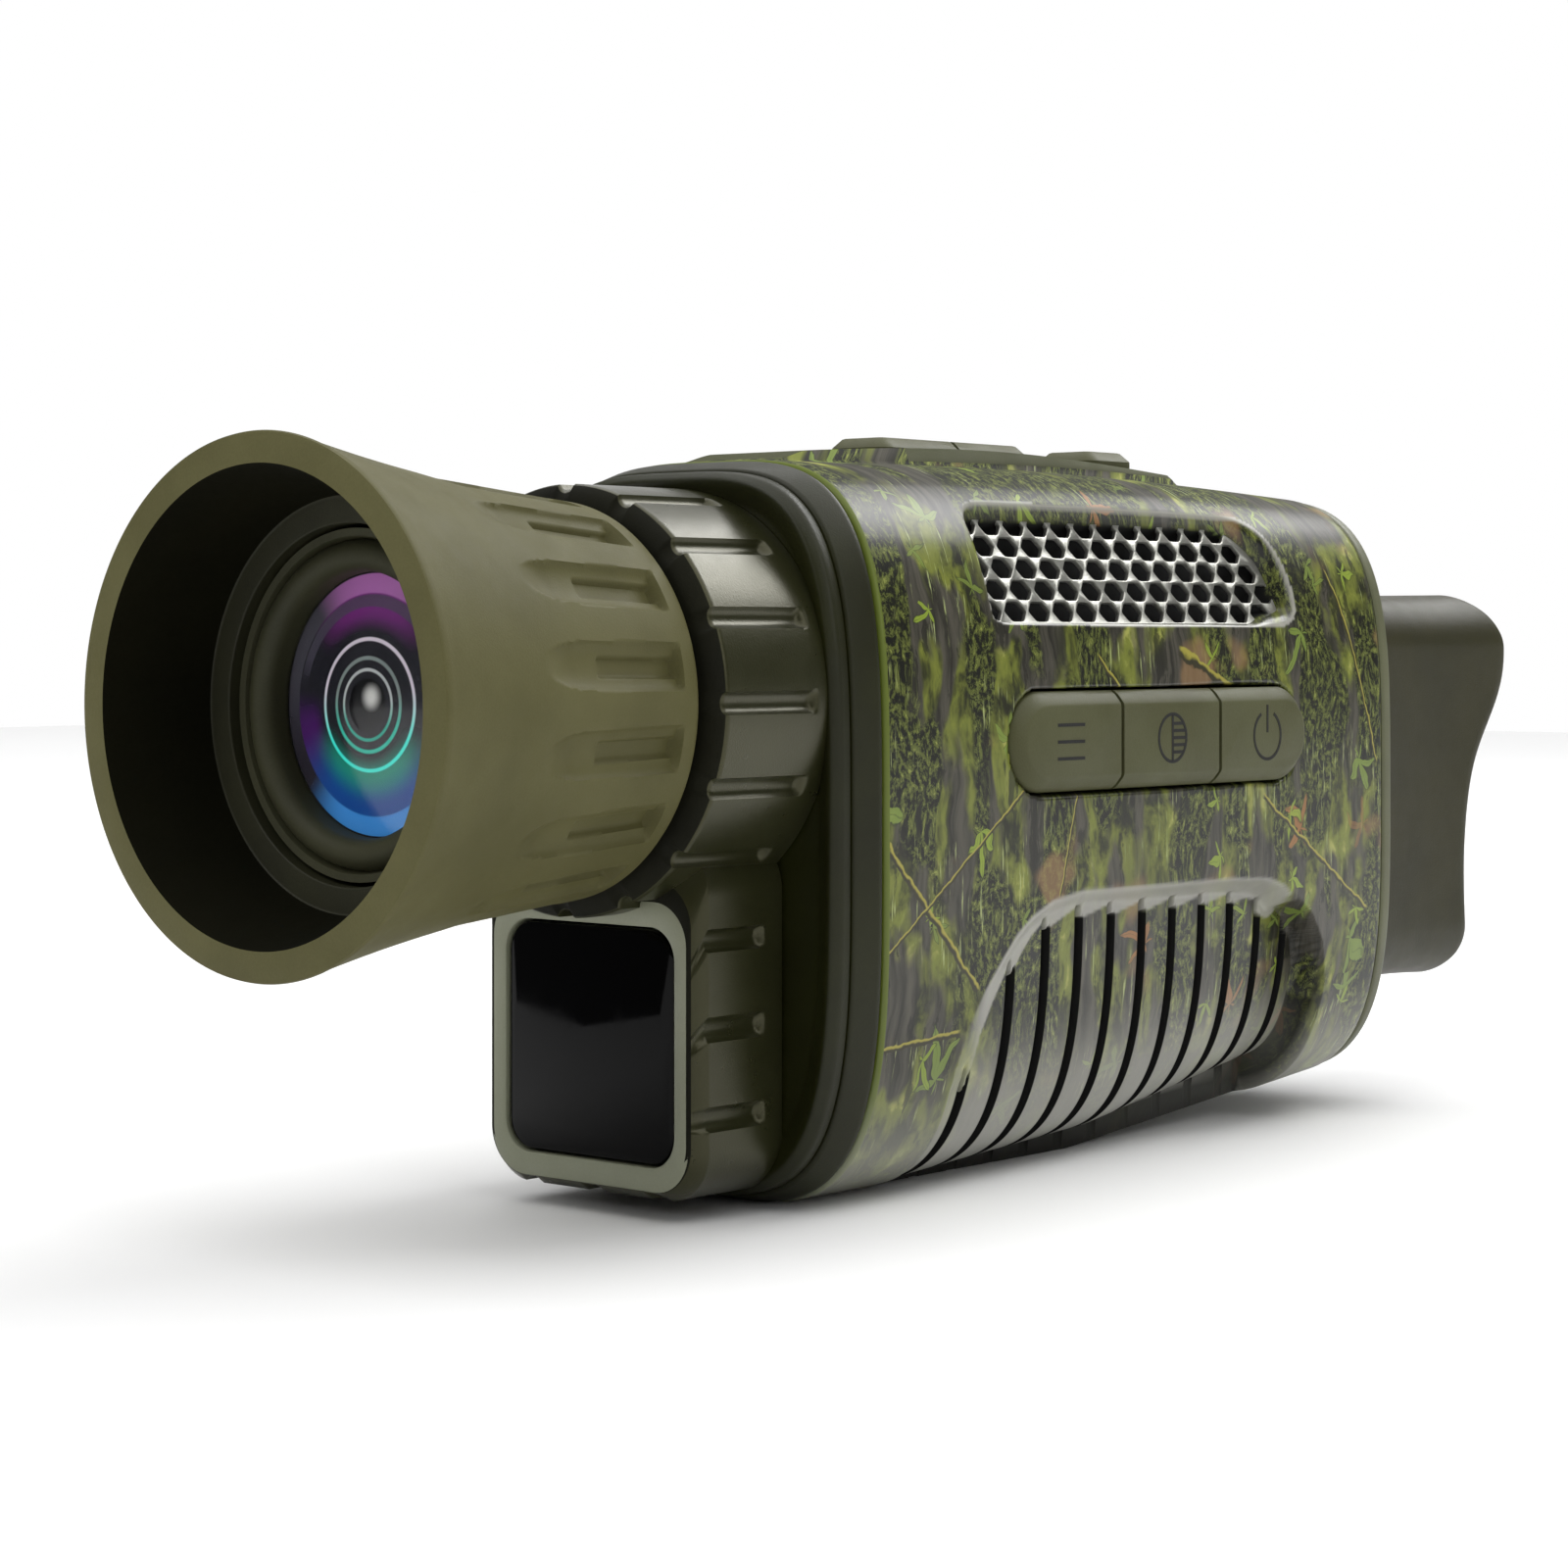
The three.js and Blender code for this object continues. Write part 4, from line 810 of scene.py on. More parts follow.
def shell_surface():
    """The shell's outer surface as rows along it, with the painted shade and painted highlight of its
    moulded detail.
    """
    places, around = shell_places()
    rows = len(places)
    points = np.concatenate([body_loop(y, 0.0, around) for y in places])
    x, y, z = points.T
    half_width, half_height, centre = section(y)
    normal_x = np.sign(x) * np.abs(x / half_width) ** (EXPONENT - 1) / half_width
    normal_z = np.sign(z - centre) * np.abs((z - centre) / half_height) ** (EXPONENT - 1) / half_height
    size = np.hypot(normal_x, normal_z)
    grip, shade, pale = grip_relief(x, y, z)
    x = x - grip * normal_x / size
    z = np.maximum(z - grip * normal_z / size, BASE)
    z, deck = press_deck(x, y, z)
    z, shade = press_top_wells(x, y, z, shade)
    x, z, shade, pale = press_vent(x, y, z, shade, pale)
    x, shade = press_side_well(x, y, z, shade)
    x, shade, hole = press_flap_recess(x, y, z, shade)
    z, shade = press_nut_well(x, y, z, shade)
    # Tone: painted shade, painted highlight, and which places are on the deck.
    tone = np.stack([shade, pale, deck], 1)
    moved = np.stack([x, y, z], 1)
    # The print runs down the walls of a recess at its own scale.
    sunk = np.linalg.norm(moved - points, axis=1)
    wrap = np.stack([y - sunk, np.tile(around, rows), np.zeros_like(y)], 1)
    return moved, wrap, tone, hole, (rows, len(around))


LIP = [(2.4, 3.0), (2.2, 0.0), (0.45, 0.0), (0.1, 0.15)]


def main_shell(print_, deck):
    points, wrap, tone, hole, (rows, columns) = shell_surface()
    _, around = shell_places()
    points[:columns, 1] += 0.45
    points[-columns:, 1] -= 0.45
    front = [body_loop(SHELL_FRONT + y, inset, around) for inset, y in LIP]
    rear = [body_loop(SHELL_REAR - y, inset, around) for inset, y in LIP[::-1]]
    lips = [np.stack([ring[:, 1], around, 0 * around], 1) for ring in front + rear]
    plain = np.zeros((len(LIP) * columns, 3))
    points = np.concatenate(front + [points] + rear)
    wrap = np.concatenate(lips[:len(LIP)] + [wrap] + lips[len(LIP):])
    tone = np.concatenate([plain, tone, plain])
    hole = np.concatenate([plain[:, 0] > 0, hole, plain[:, 0] > 0])
    index = np.arange(len(points)).reshape(rows + 2 * len(LIP), columns)
    a, d = index[:-1], index[1:]
    quads = np.stack([a, np.roll(a, -1, 1), np.roll(d, -1, 1), d], -1).reshape(-1, 4)
    quads = quads[~hole[quads].all(1)]
    used = np.unique(quads)
    renumber = np.zeros(len(points), int)
    renumber[used] = np.arange(len(used))
    on_deck = (tone[quads, 2] > 0.5).all(1).astype(int)
    solid = points[used], renumber[quads].tolist()
    obj = make("shell", solid, [print_, deck], on_deck, sharp=180)
    for name, values in (("wrap", wrap), ("tone", tone)):
        attribute = obj.data.attributes.new(name, "FLOAT_VECTOR", "POINT")
        attribute.data.foreach_set("vector", values[used].ravel())
    return fit(obj, "casing", "camouflage", "main_shell")


def vent_mesh(steel):
    """A perforated sheet with rows of staggered rounded holes."""
    plate = loft([on_vent(vent_outline(0.2), VENT_SHEET + 0.55), on_vent(vent_outline(0.2), VENT_SHEET)])
    obj = make("vent_sheet", plate, [steel])
    holes = []
    pitch, row_pitch = 4.05, 2.35
    for row in range(-2, 3):
        for column in range(-7, 8):
            centre = ((column + (0.25 if row % 2 else -0.25)) * pitch, row * row_pitch)
            angle = np.linspace(0, 2 * np.pi, 6, endpoint=False)
            hexagon = [(centre[0] + 1.86 * math.cos(t), centre[1] + 1.26 * math.sin(t)) for t in angle]
            outline = np.array(softened(hexagon, 0.3, 2, closed=True))
            if is_inside(outline, [tuple(p) for p in vent_outline(0.45)]).all():
                holes.append(loft([on_vent(outline, 3.5), on_vent(outline, 0.5)]))
    cutter = make("vent_holes", joined(*holes), [steel])
    cut(obj, cutter, bevel=0.1)
    return fit(obj, "casing", "mesh_steel", "vent_mesh")


# ------------------------------------------------------------------ focus hood and lens

GROOVES = 16
GROOVE_TURN = math.radians(10.2)
FUNNEL_END = 10.6


def hood_profile():
    """Outer line of the hood from the rim back, as (radius, y)."""
    _, high = span("focus_hood")
    rim, rear = high[0], high[1]
    flare = [(rim - 0.35, 0.0), (rim - 0.08, 0.1), (rim, 0.4)]
    kink = 18.5
    for y in np.arange(1.2, 14.0, 1.0):
        t = y / kink
        flare.append((rim - 3.4 * t - 0.18 * math.sin(math.pi * t), y))
    for y in np.arange(14.0, rear - 0.35, 0.22):
        straight = 20.6 - 1.7 * (y - kink) / (rear - kink)
        flared = rim - 3.4 * y / kink - 0.18 * math.sin(math.pi * min(y / kink, 1))
        blend = ease(np.array(y - kink + 1.5), 3.0)
        flare.append((float(flared + (straight - flared) * blend), y))
    return flare + [(18.75, rear - 0.1), (18.55, rear)]


def hood_grooves(points):
    """Presses the bullet-shaped finger grooves into the outer surface."""
    x, y, z = points.T
    radius = np.hypot(x, z)
    turn = np.arctan2(z, x) - GROOVE_TURN
    pitch = 2 * np.pi / GROOVES
    across = np.abs((turn + pitch / 2) % pitch - pitch / 2) * radius
    tip, end, half = 14.3, 34.2, 2.2
    width = half * np.sqrt(np.clip((y - tip) / 7.5, 0, 1) * (2 - np.clip((y - tip) / 7.5, 0, 1)))
    scoop = 0.95 * np.sqrt(np.clip(1 - (across / (width + 1e-6)) ** 2, 0, 1))
    scoop = scoop * ease(y - tip, 5.0) * ease(end - y, 0.35)
    slot = 0.5 * ease(1.05 - across, 0.2) * ease(y - 22.8, 0.3) * ease(end - 0.3 - y, 0.25)
    depth = np.where(radius > 17.5, scoop + slot, 0)
    scale = 1 - depth / np.maximum(radius, 1)
    return np.stack([x * scale, y, z * scale], 1)


def focus_hood(olive, inside, seat):
    outer = hood_profile()
    bore = span("focus_hood")[1][1]
    inner = softened([(21.15, 0.0), (18.7, FUNNEL_END), (16.2, FUNNEL_END), (16.2, bore), (18.2, bore)], 0.2)
    profile = outer + inner[::-1]
    count = 720
    points, faces = turned(profile, count)
    points = hood_grooves(points)
    y_of = np.array([p[1] for p in profile])
    r_of = np.array([p[0] for p in profile])
    index = []
    for row in range(len(profile)):
        following = (row + 1) % len(profile)
        is_inner = row >= len(outer) and following != 0 or r_of[row] < 16.5
        is_floor = is_inner and y_of[row] > FUNNEL_END - 0.05 and r_of[row] > 15
        index += [2 if is_floor else (1 if is_inner else 0)] * count
    obj = make("focus_grip", (points, faces), [olive, inside, seat], index, sharp=50)
    return fit(obj, "focus_hood", "hood_olive", "focus_hood")


def lens_cell(metal):
    low, high = span("lens_cell")
    front = low[1]
    profile = softened([
        (15.8, front + 0.5), (15.8, front + 5.5), (13.5, front + 5.5), (13.5, high[1]), (9.0, high[1]),
        (9.0, 31.0), (10.4, 31.0), (10.4, 18.4), (11.95, 18.4), (11.95, front + 2.4),
    ], 0.3)
    for turn in np.radians(np.linspace(170, 10, 14)):
        profile.append((13.4 + 1.45 * math.cos(turn), front + 1.7 - 1.6 * math.sin(turn)))
    profile.append((15.1, front + 0.6))
    return fit(make("objective_barrel", turned(profile), [metal]), "lens_cell", "cell_metal", "lens_cell")


def cap_profile(radius, sag, edge, steps=20):
    """Half of a domed face: (radius, y) from its middle, which stands sag in front of its edge."""
    return [(max(radius * t, 0.05), edge - sag * (1 - t * t)) for t in np.linspace(0, 1, steps)]


def front_lens(clear, depth, ball):
    """A thin clear dome over a domed core that carries the lens's painted reflections, which glow a little.
    """
    radius, sag, edge = 11.9, 1.1, span("front_lens")[0][1] + 1.25
    outer = cap_profile(radius, sag, edge) + [(radius, edge + 0.2)]
    inner = cap_profile(radius - 0.1, sag, edge + 0.2)[::-1]
    solid = turned(outer + inner, closed=False)
    fit(make("front_element", solid, [clear], sharp=60), "lens_cell", "coated_glass", "front_lens")
    middle = edge + 0.3 - sag
    core = cap_profile(radius - 0.1, sag, edge + 0.3)
    core += [(11.2, edge + 0.4), (10.9, edge + 2.4), (0.05, edge + 2.4)]
    fit(make("lens_reflection_core", turned(core, closed=False), [depth], sharp=60), "lens_cell", "coated_glass")
    bead = []
    for t in np.linspace(0, 1.5, 16):
        bead.append((max(2.6 * math.sin(t), 0.03), middle + 0.12 - 0.2 * math.cos(t)))
    bead += [(2.65, middle + 0.5), (0.03, middle + 0.5)]
    fit(make("lens_pupil", turned(bead, 96, closed=False), [ball], sharp=60), "lens_cell", "coated_glass")


def lens_retainer(black):
    _, high = span("lens_retainer")
    inner, outer = 11.4, high[0] - 0.05
    front, rear = high[1] - 0.45, high[1]
    profile = softened([(outer, front), (outer, rear), (inner, rear), (inner, front)], 0.15, closed=True)
    fit(make("lens_ring", turned(profile), [black]), "lens_cell", "black_plastic", "lens_retainer")


# ------------------------------------------------------------------ front housing

NECK_RADIUS = 20.6
NECK_FRONT = span("front_housing")[0][1]
LAMP_FRONT = span("lamp_bezel")[0][1]
LAMP_HALF = 14.2
LAMP_BOTTOM = span("front_housing")[0][2]
CAP_FRONT = span("front_cap")[0][1]
LAMP_FLUTE = {"half": 1.1, "depth": 0.75}
LAMP_FLUTE_HEIGHTS = (-22.3, -30.6, -39.0)
LAMP_FLUTE_PLACES = (-8.5, 0.0, 8.5)


def flute(across, half=1.0, depth=0.75):
    """Depth of a half-round flute at a distance from its middle line."""
    return depth * np.sqrt(np.clip(1 - (across / half) ** 2, 0, 1))


def neck(olive, dark):
    rear = CAP_FRONT + 1.0
    front = NECK_FRONT
    outer = [(18.6, front), (19.7, front + 0.25), (NECK_RADIUS - 0.15, front + 0.85)]
    outer += [(NECK_RADIUS, y) for y in np.arange(front + 1.1, rear, 0.3)]
    inner = [(16.0, rear), (16.0, front)]
    profile = outer + inner
    count = 720
    points, faces = turned(profile, count)
    x, y, z = points.T
    radius = np.hypot(x, z)
    pitch = np.pi / 8
    turn = np.arctan2(z, x)
    across = np.abs((turn + pitch / 2) % pitch - pitch / 2) * radius
    close = ease(CAP_FRONT - 1.3 - y, 0.9)
    depth = np.where(radius > 18.5, flute(across) * close, 0)
    scale = 1 - depth / radius
    # The front edge and the bore are painted in shade.
    is_painted_shade = [row < 2 or row >= len(outer) - 1 for row in range(len(profile))]
    solid = np.stack([x * scale, y, z * scale], 1), faces
    obj = make("neck", solid, [olive, dark], np.repeat(is_painted_shade, count).astype(int), sharp=50)
    return fit(obj, "casing", "housing_olive", "front_housing")


def lamp_housing(olive, dark):
    """Box around the illuminator, with chamfered front edge and fluted sides."""
    rear = CAP_FRONT + 1.0
    top = -13.0
    rings = []
    profile = [(1.55, 44.0), (1.55, LAMP_FRONT + 0.15), (1.4, LAMP_FRONT), (0.95, LAMP_FRONT + 0.2)]
    profile += [(0.0, LAMP_FRONT + 1.5)]
    profile += [(0.0, y) for y in np.arange(LAMP_FRONT + 1.8, rear, 0.3)]
    for inset, y in profile:
        low = (-LAMP_HALF + inset, LAMP_BOTTOM + inset * 0.9)
        high = (LAMP_HALF - inset, top - inset * 4.0)
        rings.append(facing(rounded_rectangle(low, high, 5.0 - inset * 0.5, 14, 120), y, 1))
    points, faces = loft(rings)
    x, y, z = points.T
    fluted = ease(y - LAMP_FRONT - 0.7, 0.5) * ease(CAP_FRONT - 1.6 - y, 0.9)
    sides = sum(flute(np.abs(z - height), **LAMP_FLUTE) for height in LAMP_FLUTE_HEIGHTS)
    x = x - np.sign(x) * sides * fluted * (np.abs(x) > LAMP_HALF - 1.5)
    under = sum(flute(np.abs(x - middle), **LAMP_FLUTE) for middle in LAMP_FLUTE_PLACES)
    z = z + under * fluted * (z < LAMP_BOTTOM + 1.5)
    # The front chamfer and the ends are painted in shade.
    is_painted_shade = [row < 3 for row in range(len(rings) - 1)]
    index = np.repeat(is_painted_shade, len(rings[0])).astype(int).tolist() + [1, 1]
    obj = make("lamp_box", (np.stack([x, y, z], 1), faces), [olive, dark], index, sharp=45)
    return fit(obj, "casing", "housing_olive")


def lamp_bezel(grey):
    low, high = (-13.1, -46.2), (13.1, -18.6)
    window_low, window_high = (-11.15, -43.85), (11.15, -21.25)
    front = LAMP_FRONT
    outer = ((0, front + 2), (0, front + 0.35), (0.12, front + 0.1), (0.4, front))
    inner = ((-0.3, front), (-0.05, front + 0.12), (0, front + 0.4), (0, front + 2))
    rings = inset_rings(low, high, 4.4, outer, 1) + inset_rings(window_low, window_high, 3.1, inner, 1)
    return fit(make("lamp_frame", loft(rings, closed=True), [grey]), "casing", "bezel_grey", "lamp_bezel")


def lamp_window(black):
    low, high = span("lamp_window")
    front = LAMP_FRONT + 0.35
    steps = ((0, front + 1.4), (0, front + 0.3), (0.1, front + 0.08), (0.35, front))
    rings = inset_rings(low[[0, 2]], high[[0, 2]], 2.9, steps, 1)
    return fit(make("lamp_glass", loft(rings), [black]), "casing", "window_black", "lamp_window")


def front_cap(olive):
    front = CAP_FRONT
    profile = softened([
        (1.3, front + 2.1), (1.3, front + 0.9), (2.0, front + 0.05), (2.6, front + 0.15),
        (4.2, front + 1.0), (9.0, front + 1.35),
    ], 0.35)
    return fit(make("cap", loft(body_rings(profile)), [olive]), "casing", "dark_olive", "front_cap")


def trim_ring(olive):
    low, high = span("trim_ring")
    profile = softened([
        (3.4, high[1]), (0.2, high[1]), (0.15, high[1] - 0.5),
        (1.0, low[1]), (1.9, low[1] - 0.05), (3.4, low[1] + 0.4),
    ], 0.3, closed=True)
    obj = make("trim", loft(body_rings(profile), closed=True), [olive])
    return fit(obj, "casing", "dark_olive", "trim_ring")


# ------------------------------------------------------------------ keys

def key_outline(low, high, radius, inset, round_low, round_high):
    """Rounded rectangle whose ends along the first axis may be cut square. Equal counts for any inset."""
    points = rounded_rectangle(np.add(low, inset), np.subtract(high, inset), radius - inset, 14, 6)
    middle = (low[0] + high[0]) / 2
    cut_inset = min(inset, 0.12)
    half = (high[1] - low[1]) / 2 - inset
    centre = (low[1] + high[1]) / 2
    for is_round, at, side in ((round_low, low[0], -1), (round_high, high[0], 1)):
        if is_round:
            continue
        on_side = (points[:, 0] - middle) * side > (abs(at - middle) - radius - 0.01)
        from_corner = np.abs(points[on_side, 0] - (at - side * radius)) + 1e-9
        angle = np.arctan2(points[on_side, 1] - centre, from_corner)
        points[on_side, 1] = centre + half * np.clip(np.tan(np.clip(angle, -1.4, 1.4)), -1, 1)
        points[on_side, 0] = at - side * cut_inset
    return points


def stroke(points, width):
    """A flat line of that width along the points, as an outline."""
    points = np.asarray(points, float)
    step = np.gradient(points, axis=0)
    across = np.stack([-step[:, 1], step[:, 0]], 1) / np.linalg.norm(step, axis=1)[:, None]
    return np.concatenate([points - across * width / 2, (points + across * width / 2)[::-1]])


def arc(centre, radii, start, end, count=32):
    angle = np.radians(np.linspace(start, end, count))
    return np.stack([centre[0] + radii[0] * np.cos(angle), centre[1] + radii[1] * np.sin(angle)], 1)


# Each key's side, as (how far in from its outline, how far under its face), from the bottom up.
KEY_STEM = [(0.4, 2.6), (0.0, 2.4)]
BUTTON_SIDE = [(0.4, 5.0), *KEY_STEM, (0.0, 1.5), (0.12, 1.25), (0.5, 0.8), (1.3, 0.12), (1.6, 0.02)]
TOP_KEY_SIDE = [(0.4, 7.0), *KEY_STEM, (0.0, 1.1), (0.12, 0.95), (1.1, 0.1), (1.4, 0.02)]
MARK_WIDTH = 0.34


def marked(solid, strokes, box, face, axis):
    """A key with marks a hair proud of its face, and each polygon's material: 0 the key, 1 the ink."""
    middle = np.delete((box[0] + box[1]) / 2, axis)
    marks = []
    for line in strokes:
        outline = stroke(line + middle, MARK_WIDTH)
        marks.append(loft([facing(outline, face - 0.2, axis), facing(outline, face + 0.015, axis)]))
    everything = joined(solid, *marks)
    count = len(solid[1])
    return everything, [0] * count + [1] * (len(everything[1]) - count)


def side_button(name, number, paint, ink, strokes):
    low, high = BUTTONS[number]
    face = high[0] - 0.03
    radius = (high[2] - low[2]) / 2
    ends = number == 0, number == len(BUTTONS) - 1
    rings = [
        facing(key_outline(low[1:], high[1:], radius, inset, *ends), face - under, 0)
        for inset, under in BUTTON_SIDE
    ]
    everything, index = marked(loft(rings), strokes, (low, high), face, 0)
    obj = make(name.replace("button", "key"), everything, [paint, ink], index, sharp=30)
    return fit(obj, name, "button_olive", name)


def side_buttons(paint, ink):
    bars = [np.array([(-2.3, z), (2.3, z)]) for z in (1.7, 0.0, -1.7)]
    dial = [arc((0, 0), (2.5, 2.5), 0, 360, 48), np.array([(0, 2.4), (0, -2.4)])]
    dial += [np.array([(0.1, z), (math.sqrt(5.6 - z * z), z)]) for z in (1.5, 0.75, 0.0, -0.75, -1.5)]
    power = [arc((0, -0.1), (2.6, 2.6), 118, 422, 48), np.array([(0, 3.2), (0, 0.2)])]
    for number, (name, strokes) in enumerate(
        (("menu_button", bars), ("mode_button", dial), ("power_button", power))
    ):
        side_button(name, number, paint, ink, strokes)


def top_keys(paint, ink):
    plus = [np.array([(-1.2, 0), (1.2, 0)]), np.array([(0, -1.2), (0, 1.2)])]
    minus = [np.array([(0, -1.2), (0, 1.2)])]
    ring = [arc((0, 0), (1.3, 1.3), 0, 360, 40)]
    shapes = {
        "zoom_in_key": (plus, True, False),
        "zoom_out_key": (minus, False, True),
        "record_key": (ring, True, True),
    }
    for name, (strokes, front_round, rear_round) in shapes.items():
        low, high = TOP_KEYS[name]
        face = high[2] - 0.03
        rings = []
        for inset, under in TOP_KEY_SIDE:
            outline = key_outline(low[[1, 0]], high[[1, 0]], 2.0, inset, front_round, rear_round)
            rings.append(facing(outline[:, ::-1], face - under, 2))
        everything, index = marked(loft(rings), strokes, (low, high), face, 2)
        fit(make(name + "_cap", everything, [paint, ink], index, sharp=30), name, "button_olive", name)


def port_flap(rubber):
    low, high = FLAP_LOW, FLAP_HIGH
    face = low[0]
    steps = ((0, high[0]), (0, face + 0.4), (0.15, face + 0.12), (0.5, face), (1.6, face),
             (1.9, face + 0.2), (2.4, face + 0.2), (2.7, face + 0.02))
    rings = inset_rings(low[1:], high[1:], (high[2] - low[2]) / 2, steps, 0, 20, 8)
    return fit(make("port_cover", loft(rings), [rubber]), "port_flap", "rubber_olive", "port_flap")


# ------------------------------------------------------------------ rear frame and eyecup

EYE_CENTRE = -11.8


def rear_frame(olive):
    front, rear = REAR_FRAME_FRONT, BODY_REAR
    arcs = np.linspace(0, ARC[-1], 240, endpoint=False)
    outer = softened([(0.25, front), (0.1, front + 0.4), (0.15, rear - 0.9), (1.0, rear)], 0.4)
    rings = [body_loop(y, inset, arcs) for inset, y in outer]
    reference = rings[0]
    angle = np.arctan2(reference[:, 2] - EYE_CENTRE, reference[:, 0])
    bore = np.stack([14.5 * np.cos(angle), np.zeros_like(angle), EYE_CENTRE + 14.5 * np.sin(angle)], 1)
    rings += [bore + (0, rear, 0), bore + (0, rear - 0.3, 0), bore + (0, front, 0)]
    obj = make("rear_bezel", loft(rings, closed=True), [olive])
    wells = []
    for number in range(1, 5):
        low, high = span(f"rear_screw_{number}")
        centre = ((low[0] + high[0]) / 2, (low[2] + high[2]) / 2)
        wells.append(loft([facing(circle(2.35, 32, centre), y, 1) for y in (rear - 1.5, rear + 1)]))
    cut(obj, make("screw_wells", joined(*wells), [olive]), bevel=0.12)
    return fit(obj, "casing", "rear_olive", "rear_frame")


def eyecup_edge(z):
    """How far back the cup's edge reaches at each height: a long brow above, a scoop below."""
    profile = [(-34.8, 171.1), (-34, 173.2), (-32.5, 174.5), (-30.5, 174.7), (-24, 174.1), (-18, 174.3),
               (-12.4, 175.3), (-9.5, 176.2), (-6.5, 178), (-4, 180.2), (-1.8, 182.2), (1, 183.7),
               (4.4, 184.2), (7, 183.2), (9, 181.5), (10.4, 179), (11.2, 175.8)]
    heights, reach = np.array(profile).T
    return np.interp(z, heights, reach)


def eyecup(rubber):
    low, high = span("eyecup")
    half = np.array([high[0], (high[2] - low[2]) / 2])
    centre = np.array([0, (high[2] + low[2]) / 2])
    wall = 2.2

    def outline(inset):
        return rounded_rectangle(centre - half + inset, centre + half - inset, 6.5 - inset, 24, 40)

    middle = outline(wall / 2)
    edge = eyecup_edge(middle[:, 1])
    kernel = np.ones(9) / 9
    padded = np.concatenate([edge[-8:], edge, edge[:8]])
    edge = np.convolve(padded, kernel, "same")[8:-8]
    front = low[1]
    rings = []

    def ring(inset, back):
        points = facing(outline(inset), 0, 1)
        points[:, 1] = back
        return points

    rings.append(ring(0.35, np.full_like(edge, front)))
    rings.append(ring(0.05, np.full_like(edge, front + 0.3)))
    for t in np.linspace(0.03, 1, 26):
        flare = 0.35 * math.sin(math.pi * t)
        rings.append(ring(flare, front + (edge - wall / 2 - front) * t))
    for angle in np.linspace(0.15, 0.95, 7) * math.pi:
        rings.append(ring(wall / 2 * (1 - math.cos(angle)), edge - wall / 2 * (1 - math.sin(angle))))
    for t in np.linspace(1, 0, 20):
        rings.append(ring(wall, front + (edge - wall / 2 - front) * t))
    return fit(make("eye_shade", loft(rings, closed=True), [rubber]), "casing", "rubber_olive", "eyecup")


def eyepiece(clear, black):
    low, high = span("eyepiece_barrel")
    profile = softened([
        (15.2, low[1]), (15.2, 149.0), (14.2, 149.0), (14.2, high[1]),
        (12.6, high[1]), (12.3, high[1] - 1.2), (12.6, 152.2), (13.4, 151.9),
        (13.4, 141.0), (12.0, 141.0), (12.0, low[1]),
    ], 0.35, closed=True)
    solid = turned(profile, centre_z=EYE_CENTRE)
    fit(make("ocular_barrel", solid, [black]), "casing", "black_plastic", "eyepiece_barrel")
    low, high = span("eyepiece_lens")
    radius = 13.0
    rear = [(max(radius * t, 0.05), high[1] - 3.4 * t * t) for t in np.linspace(0, 0.98, 16)]
    front = [(max(radius * t, 0.05), low[1] + 3.2 * t * t) for t in np.linspace(1, 0, 16)]
    solid = turned(rear + front, centre_z=EYE_CENTRE, closed=False)
    fit(make("ocular_lens", solid, [clear], sharp=60), "casing", "coated_glass", "eyepiece_lens")


def tripod_nut(brass):
    low, high = NUT_LOW, NUT_HIGH
    centre = (0.0, (low[1] + high[1]) / 2)
    outer, bore = high[0], 3.1
    corners = [(outer, low[2]), (outer, high[2]), (bore, high[2]), (bore, low[2])]
    profile = softened(corners, 0.35, closed=True)
    rings = [facing(circle(r, 96, centre), z, 2) for r, z in profile]
    return fit(make("base_nut", loft(rings, closed=True), [brass]), "casing", "brass", "tripod_nut")


# ------------------------------------------------------------------ materials and assembly

